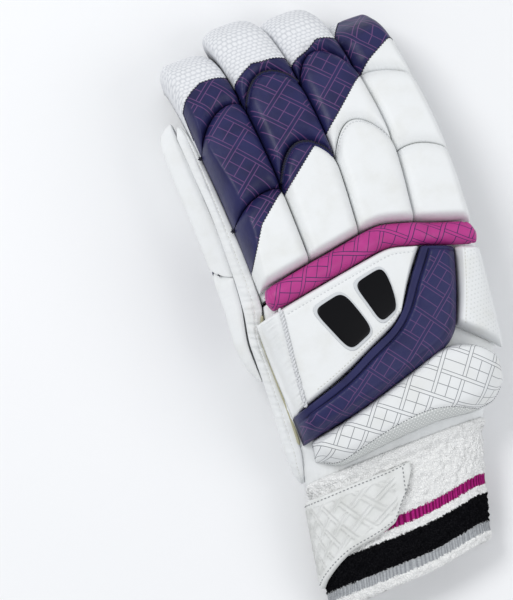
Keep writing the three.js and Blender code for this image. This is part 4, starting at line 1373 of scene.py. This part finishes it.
def side_pad():
    place = back_pad(SIDE, near=SIDE_OUT)
    margin = 4.2

    def stands(p, q):
        long, wide = spans(place, p, q)
        shape = rounded((1 + q) / 2 * wide, 4) * rounded((1 - q) / 2 * wide, 6)
        shape = shape * rounded((1 + p) / 2 * long, 3.5) * rounded((1 - p) / 2 * long, 5)
        seam = bell((1 + q) / 2 * wide - margin, 0.7) * 0.5
        drawn = gathers(p * 30, 2.9) * np.exp(-((1 + p) / 2 * long) / 2) * 0.3
        full = (SIDE_PAD - SEAT) * (1 - 0.04 * q**2)
        return np.maximum(full * shape + (drawn - seam) * smooth(shape * 2), 0)

    pad = Pad(place, stands, seated)

    def marks(p, q):
        long, wide = spans(place, p, q)
        inward = np.minimum((1 + q) / 2 * wide - margin, (1 - q) / 2 * wide - 2.5)
        edge = np.minimum(inward, (1 - np.abs(p)) * long / 2 - 2.5)
        return {"chart": pulled_over(pad, p, q), "face": edge - 0.5}

    rows, columns = stations(70, 0.7), stations(70, 0.6)
    pad.made("side_pad", "perforated_leather", 0.9, rows, columns, "dotted_leather", marks)
    p = np.linspace(-0.9, 0.9, 90)
    sew_side(pad, p, -1, margin, 0.1, "white_thread", gap=2.1, length=1.3, width=0.5)


def wrist_pad():
    place = back_pad(WRIST, near=WRIST_OUT)
    split = lambda p: 0.5 + 0.5 * smooth(np.abs(p + 0.24) / 0.75) ** 1.2

    def stands(p, q):
        long, wide = spans(place, p, q)
        shape = rounded((1 + q) / 2 * wide, 4) * rounded((1 - q) / 2 * wide, 9)
        ends = rounded((1 + p) / 2 * long, 8) * rounded((1 - p) / 2 * long, 8)
        seam = bell((q - split(p)) * wide / 2, 0.8)
        top_seam = bell((1 + q) / 2 * wide - 3.4, 0.6) * smooth(shape * 2)
        shape = shape * (1 - 0.02 * top_seam)
        drawn = gathers(p * 60, 7.7) * np.exp(-((1 + q) / 2 * wide) / 2.5) * 0.5
        full = (WRIST_PAD - SEAT) * (1 + 0.12 * (1 - q**2))
        return np.maximum(full * shape * ends - seam * 0.5 * smooth(shape * 3) + drawn * smooth(shape * 2), 0)

    pad = Pad(place, stands, seated)

    def marks(p, q):
        _, wide = spans(place, p, q)
        return {"chart": pulled_over(pad, p, q), "face": (split(p) - q) * wide / 2}

    rows, columns = stations(160, 0.4), stations(60, 0.65)
    pad.made("wrist_pad", "lined_leather", 0.85, rows, columns, "wrist_leather", marks)
    p = np.linspace(-0.92, 0.92, 200)
    spots, facing = pad.line(p, np.minimum(split(p), 0.97), 0.1)
    sew("black_thread", spots, facing, gap=1.7, length=1.1, width=0.35)


def badges(panel):
    """Two plain slanted bars on the panel, each a silver plate with a black raised face."""
    rings = np.concatenate([np.linspace(0, 0.8, 9)[1:], np.linspace(0.82, 1, 16)])
    turn = np.linspace(0, 2 * np.pi, 72, endpoint=False)
    for k, (start, end) in enumerate(BADGES):
        r, around = np.meshgrid(rings, turn, indexing="ij")
        p, q = r * bulge(np.cos(around), 2 / 5), r * bulge(np.sin(around), 2 / 5)
        edge = (1 - r) * 8.5
        face = 0.6 + (BADGE - 0.5) * rounded(edge - 0.9, 0.8)
        rise = np.where(edge < 0.9, 0.6 * rounded(edge, 0.4), face)
        along, across = mix(start, end, (p + 1) / 2) + BADGE_SLANT * q, BADGE_MIDDLE + BADGE_HALF * q
        facing = panel.facing(along, across)
        facing = np.where(facing[..., 2:] < 0, -facing, facing)
        base = panel.top(along, across) + facing * 0.15
        top = (base + facing * rise[..., None])[::-1]
        points, faces = walled(top, (base - facing * 0.1)[::-1], closed=True, shut=True)
        marks = {"face": (edge - 0.95)[::-1]}
        name = f"badge_bar_{k + 1}"
        piece(built(f"{name}_rubber", points, faces, "badge_rubber", twice(marks)), [name])


def roll_middle(x):
    y = knuckle_line(x)
    rests = back_height(x, y - ROLL_RADIUS)
    for line in LINES.values():
        near = np.abs(x - line["x"]) <= FINGER_PITCH / 2 + ROLL_RADIUS / 2
        rests = np.where(near, np.maximum(rests, line["z"][0]), rests)
    kernel = np.ones(9) / 9
    rests = np.convolve(np.pad(rests, 4, mode="edge"), kernel, mode="valid")
    return point(x, y, rests + ROLL_RADIUS + SEAT)


def knuckle_roll():
    half = HAND_HALF - 1
    x = half * stations(180, 0.5)
    width = column(ROLL_END, "width", np.abs(x) / half)
    middle = roll_middle(x)
    turn = np.linspace(0, 2 * np.pi, 40, endpoint=False)
    end = half - np.abs(x)
    groove = 0.45 * bell(end - 4.2, 0.7)
    radius = ROLL_RADIUS * width * rounded(end + 0.3, 3.2) - groove + 0.03 * gathers(x, 3.3)
    rings = middle[:, None] + point(0, np.outer(radius, np.cos(turn)), np.outer(radius, np.sin(turn)))
    points, faces = bar(rings)
    chart = point(x[:, None] + 0 * turn, (turn * ROLL_RADIUS)[None] + 0 * x[:, None], 0)
    marks = {"chart": chart.reshape(-1, 3), "face": np.full(len(points), 9)}
    thing = built("knuckle_roll_leather", points, faces, "pink_lined", marks)
    piece(thing, ["knuckle_roll"])


def hem_shift(turn):
    return HEM_WAVE * smooth((np.degrees(turn) - 27) / 66) * smooth((330 - np.degrees(turn)) / 90)


def on_wrist(turn, at, h):
    """A place on the cuff, or above it on the hand where at is below 0."""
    up = np.maximum(-at, 0) * CUFF_LENGTH
    hand = hand_point(turn, up / (KNUCKLE_Y - WRIST_Y), h)
    return np.where((at < 0)[..., None], hand, cuff_point(turn, at, h))


def cuff():
    """The towelling tube, with ribbed bands, a fluffy terry surface and a rolled hem."""
    rows, count = 104, 4 * RIBS
    turn = np.linspace(0, 2 * np.pi, count, endpoint=False)[None]
    start = -CUFF_OVERLAP * smooth(np.sin(turn) * 2.5 + 0.2)
    at = mix(start, 1 + hem_shift(turn), np.linspace(0, 1, rows)[:, None])
    fluff = np.random.default_rng(7).normal(size=(rows, count))
    soft = sum(np.roll(np.roll(fluff, i, 0), j, 1) for i in (-1, 0, 1) for j in (-1, 0, 1)) / 3
    shift = hem_shift(turn)
    between = lambda low, high: (at - shift > low) & (at - shift < high)
    banded = between(*PINK_BAND) | between(GREY_BAND[0] + 0.005, GREY_BAND[1])
    ribs = 0.4 * np.cos(turn * RIBS)
    end = (1 + shift - at) * CUFF_LENGTH
    hem = 0.5 * (rounded(end, HEM_ROUND) - 1) * KNIT
    roll = 0.8 * bell(end - 4, 2.6)
    gathered = np.exp(-((at - shift - 0.45) ** 2) / 0.004) * 0.7
    slack = 0.5 * np.sin(turn * 7 + 3 * at) * smooth(at * 1.4) - gathered
    slack = slack * smooth(at * 8)
    over = 1 - smooth(at / 0.05 + 0.4)
    raised = over * smooth(-start / CUFF_OVERLAP * 2)
    sewn = rounded((at - start) * CUFF_LENGTH, 1.6)
    rise = mix(0, 0.5 + 1.7 * sewn, raised)
    outer = on_wrist(turn, at, rise + hem + roll + slack + np.where(banded, ribs, TERRY * soft * sewn))
    hollow = -KNIT - 0.5 * (rounded(end, HEM_ROUND) - 1) * KNIT + slack + 0.25 * soft
    inner = on_wrist(turn, at, mix(hollow, 0.35, raised))
    points, faces = walled(outer, inner, closed=True)
    degrees = np.degrees(turn) + 0 * at
    patch = smooth((110 - degrees) / 2) + smooth((degrees - 262) / 3)
    marks = {"chart": point(degrees * 0.68, at * CUFF_LENGTH, at - shift), "shows": clamp(patch)}
    piece(built("cuff_towelling", points, faces, "towelling", twice(marks)), ["cuff"])


def woven_relief(u, v, pitch=9.0, turn=40):
    """A raised lattice of paired bars in moulded rubber, 0 to 1."""
    c, s = math.cos(math.radians(turn)), math.sin(math.radians(turn))
    a, b = (u * c + v * s) / pitch, (v * c - u * s) / pitch
    fold = lambda t: np.abs((t + 0.5) % 1 - 0.5) * pitch
    weave = (np.floor(a + 0.5) + np.floor(b + 0.5)) % 2
    bars = lambda d: np.exp(-(((d - 1.2) / 0.42) ** 2))
    bar_a = bars(fold(a)) * np.where((fold(b) < 1.6) & (weave > 0.5), 0, 1)
    bar_b = bars(fold(b)) * np.where((fold(a) < 1.6) & (weave < 0.5), 0, 1)
    return np.maximum(bar_a, bar_b)


def strap(name, rows, material, border, relief):
    """A moulded strap end that follows the cuff between two turns."""
    first, last = rows["at"][0], rows["at"][-1]
    round_mm = (last - first) * CUFF_PER_DEGREE
    p, q = np.meshgrid(stations(int(round_mm / 0.6), 0.3), stations(94, 0.35), indexing="ij")
    turn = mix(first, last, (p + 1) / 2)
    low, high = (column(rows, key, turn) for key in ("low", "high"))
    at = mix(low, high, (q + 1) / 2)
    wide = (high - low) * CUFF_LENGTH
    edge = np.minimum((1 - np.abs(q)) * wide / 2, (1 - np.abs(p)) * round_mm / 2)
    u, v = turn * CUFF_PER_DEGREE, at * CUFF_LENGTH
    shape = 0.35 + 0.65 * rounded(edge, 1.4)
    inside = smooth((edge - border) / 0.8)
    rise = STRAP * shape + 0.5 * smooth(edge / 1) * (1 - inside) + relief * woven_relief(u, v) * inside
    top = cuff_point(np.radians(turn), at, STRAP_SEAT + rise)
    under = cuff_point(np.radians(turn), at, STRAP_SEAT + 0 * rise)
    points, faces = walled(top, under)
    middle = (first + last) / 2 * CUFF_PER_DEGREE
    marks = {"chart": point(u - middle, v, edge)}
    piece(built(f"{name}_rubber", points, faces, material, twice(marks)), [name])
    facing = normals_of(top)
    if facing[..., 2].mean() < 0 and name == "strap_patch":
        facing = -facing
    # The edge stitches are sewn in the grey thread, whose grey is a painted shade for the shadows round pale
    # stitches.
    seams = [(top[4:-4, k], facing[4:-4, k]) for k in (7, -8)] + [(top[6, 9:-9], facing[6, 9:-9])]
    for line, ways in seams:
        sew("grey_thread", line + ways * 0.2, ways, gap=2.3, length=1.4, width=0.6)


def thumb_pad(start, end, tipped):
    """A pad on the outside of the thumb and the marks of its leathers."""
    share = lambda p, q: mix(start(q), end(q), (p + 1) / 2)
    length = THUMB_LENGTH

    def place(p, q, h):
        narrow = np.where(p > 0.5, 1 - THUMB_NARROWS * (2 * p - 1) ** 3, 1) if tipped else 1
        return thumb_point(share(p, q), q * narrow, h)

    def stands(p, q):
        _, _, _, half, thick = thumb_seat(share(p, q))
        along = (end(q) - start(q)) * length
        near, far = (1 + p) / 2 * along, (1 - p) / 2 * along
        side = (1 - np.abs(q)) * half
        root, tip = (6, 10) if tipped else (12, 6)
        shape = rounded(side, THUMB_CORNER) * rounded(near, root) * rounded(far, tip)
        drawn = gathers(share(p, q) * length, 6.6) * np.exp(-side / 2) * 0.4
        seam = bell(side - THUMB_SEAM, 1.3) * 1.1
        return np.maximum(thick * shape * (1 - 0.05 * q**2) + (drawn - seam) * smooth(shape * 2), 0)

    def marks(p, q):
        _, _, _, half, _ = thumb_seat(share(p, q))
        t = share(p, q)
        face = (1 - np.abs(q)) * half - THUMB_SEAM
        navy = np.minimum(face, np.minimum((0.66 + 0.1 * q - t) * length, (t - 0.14 + 0.1 * q) * length))
        mesh = np.minimum(face, (t - 0.72 - 0.1 * q) * length)
        wave = lambda distance, width: np.sin(np.pi * ((distance / width) % 1))
        weave = wave(q * half, SCALE_WIDTH) * wave(t * length, SCALE_ROW)
        chart = point(q * half, t * length, 0)
        return {"chart": chart, "navy": navy, "mesh": mesh, "face": face, "weave": weave}

    return Pad(place, stands, lambda p, q: 0 * p), marks


def thumb_pads():
    joint = lambda shift: crease((THUMB_JOINT, THUMB_JOINT_ARCH, 0), shift, THUMB_LENGTH)
    zero, one = (lambda q: 0 * np.asarray(q, float)), (lambda q: 1 + 0 * np.asarray(q, float))
    halves = (("thumb_base_pad", zero, joint(-1), False), ("thumb_tip_pad", joint(1), one, True))
    for name, start, end, tipped in halves:
        pad, marks = thumb_pad(start, end, tipped)
        rows, columns = stations(104, 0.6), stations(64, 0.75)
        pad.made(name, "two_tone_leather", 0.9, rows, columns, "finger_leather", marks)
        p = np.linspace(-0.95, 0.95, 160)
        _, _, _, half, _ = thumb_seat(mix(start(1.0), end(1.0), (p + 1) / 2))
        q = 1 - THUMB_SEAM / half
        facing = pad.facing(p, q)
        facing = np.where(facing[..., :1] > 0, -facing, facing)
        line = resampled(pad.top(p, q) - facing * 0.15, 1.2)
        tube(f"{name}_piping", line, facing.mean(0) + 0 * line, PIPING, "black_piping", sides=10)
    spots, _ = pad.line(np.array([-0.97, -1.0]), np.array([0.9, 0.9]), 0.5)
    knot(spots[0], np.array([-0.3, 0, 0.95]))


STRIP = table(
    "y outer outer_up inner inner_up",
    (-60, -78.5, 17, -76.5, 18.5),
    (-54, -81, 21.5, -76, 27),
    (-42, -82, 27, -74, 34.5),
    (-16, -80.5, 32, -73, 38),
    (2, -80, 36.5, -73, 40),
    (20, -80, 41, -73, 43),
    (43, -76.5, 43.5, -66.5, 50),
    (66, -74.5, 44, -65.6, 51),
    (98, -73.5, 44, -65.8, 48.3),
    (130, -74.3, 42, -66.3, 43),
    (150, -74.5, 38.5, -67.2, 37),
    (158, -71.8, 33, -69.6, 32.5),
)


def side_strip():
    """The strip of soft white leather that joins the thumb to the index finger and the back of the hand."""
    y = np.linspace(STRIP["y"][0], STRIP["y"][-1], 240)[:, None]
    t = np.linspace(0, 1, 28)[None]
    x1, z1, x2, z2 = (column(STRIP, key, y, "y") for key in ("outer", "outer_up", "inner", "inner_up"))
    crown = np.sin(np.pi * t) ** 0.7
    ends = rounded(y - y[0], 6) * rounded(y[-1] - y, 8)
    wrinkled = 0.6 + 1.5 * bell(y - 30, 18)
    folds = (gathers(y * 0.8 + 3 * t, 0.6) + gathers(y * 0.17 + 2.6 * t, 2.2)) * wrinkled * np.sin(np.pi * t)
    seam = bell((t - 0.66) * 9, 0.5) * 0.5
    lift = STRIP_CROWN * crown * ends + folds * 0.55 - seam
    spots = point(mix(x1, x2, t), y + 0 * t, mix(z1, z2, t))
    out = normals_of(spots)
    out = np.where(out[..., 2:] < 0, -out, out)
    top = spots + out * lift[..., None]
    under = spots + out * (lift - STRIP_LEATHER)[..., None]
    points, faces = walled(top, under)
    strip = piece(built("side_strip_leather", points, faces, "white_leather"))
    middle = (top + under) / 2
    arc = lambda axis: np.linalg.norm(np.diff(middle, axis=axis), axis=-1).sum(axis).mean() * MM
    corners = np.cross(middle[1:, 1:] - middle[:-1, :-1], middle[1:, :-1] - middle[:-1, 1:])
    area = np.linalg.norm(corners, axis=-1).sum() / 2 * MM**2
    cut = {"flat": (arc(1), arc(0)), "area": area}
    facing = out[:, 18]
    sew("white_thread", top[6:-6, 18] + facing[6:-6] * 0.05, facing[6:-6], gap=2.3, length=1.5, width=0.4)
    on = (y[:, 0] > -40) & (y[:, 0] < 36)
    line = resampled(spots[on, -1] + np.array([0.2, 0, 1.1]), 1.0)
    tube("side_strip_piping", line, line * 0 + np.array([0, 0, 1.0]), PIPING, "cream_piping", sides=10)


def camera():
    lean, turn, pitch = math.radians(21.5), math.radians(8), math.radians(7)
    pixel, photo, middle, corner = 0.58, (513, 600), (256.5, 300), (404, 561)
    shift, eye_height, away, sensor = (36.46, 122), 20, 2400, 36
    across, ahead = Vector((math.cos(turn), 0, math.sin(turn))), Vector((0, math.cos(pitch), math.sin(pitch)))
    right = (across * math.cos(lean) - ahead * math.sin(lean)).normalized()
    up = ahead * math.cos(lean) + across * math.sin(lean)
    up = (up - right * up.dot(right)).normalized()
    toward = right.cross(up)
    a, b = (middle[0] - corner[0]) * pixel, (corner[1] - middle[1]) * pixel
    x = (math.cos(lean) * a + math.sin(lean) * b - eye_height * math.sin(turn)) / math.cos(turn) - shift[0]
    y = (math.cos(lean) * b - math.sin(lean) * a - eye_height * math.sin(pitch)) / math.cos(pitch) - shift[1]
    data = bpy.data.cameras.new("camera")
    data.sensor_width = sensor
    data.lens = sensor * away / (photo[1] * pixel)
    data.clip_end = 20
    seen = bpy.data.objects.new("camera", data)
    axes = Matrix((right, up, toward)).transposed().to_4x4()
    axes.translation = (Vector((x, y, eye_height)) + toward * away) * MM
    seen.matrix_world = axes
    bpy.context.scene.collection.objects.link(seen)
    bpy.context.scene.camera = seen


def light(name, place, size, power):
    data = bpy.data.lights.new(name, "AREA")
    data.shape, data.size, data.energy = "DISK", size, power
    lamp = bpy.data.objects.new(name, data)
    lamp.location = place
    lamp.rotation_euler = (-Vector(place)).to_track_quat("-Z", "Y").to_euler()
    bpy.context.scene.collection.objects.link(lamp)


def studio():
    world = bpy.data.worlds.new("studio")
    world.use_nodes = True
    world.node_tree.nodes["Background"].inputs["Color"].default_value = (0.95, 0.97, 1, 1)
    world.node_tree.nodes["Background"].inputs["Strength"].default_value = 0.64
    bpy.context.scene.world = world
    bpy.context.scene.view_settings.view_transform = "Standard"
    light("window", (-0.7, 0.8, 1.4), 0.7, 12)
    light("fill", (1.1, -0.7, 1.3), 1.2, 7)
    paint = Paint("floor_paper")
    paper = paint.blend(paint.noise(300, 2), (0.86, 0.87, 0.88, 1), (0.9, 0.9, 0.91, 1))
    MATERIALS["floor"] = paint.finish(paper, 0.9, [(paint.noise(1.5, 2), 0.03, 0.3)])
    x, y = np.meshgrid(np.linspace(-1500, 1500, 9), np.linspace(-1500, 1500, 9), indexing="ij")
    rings = np.stack([x, y, np.full_like(x, -0.3)], -1)
    points, faces = walled(rings, rings - (0, 0, 5))
    built("floor", points, faces, "floor")


camera()
studio()
hand_shell()
thumb_stall()
for finger in FINGERS:
    finger_stall(finger)
    finger_pads(finger)
knuckle_roll()
panel = back_panel()
badges(panel)
chevron_pad()
side_pad()
wrist_pad()
cuff()
strap("strap_patch", STRAP_PATCH, "white_rubber", 4.5, 1.1)
strap("strap_tab", STRAP_TAB, "tab_rubber", 2.5, 0)
thumb_pads()
side_strip()
for kind in THREADS:
    sewn_threads(kind, kind.split("_")[0] + "_stitching")
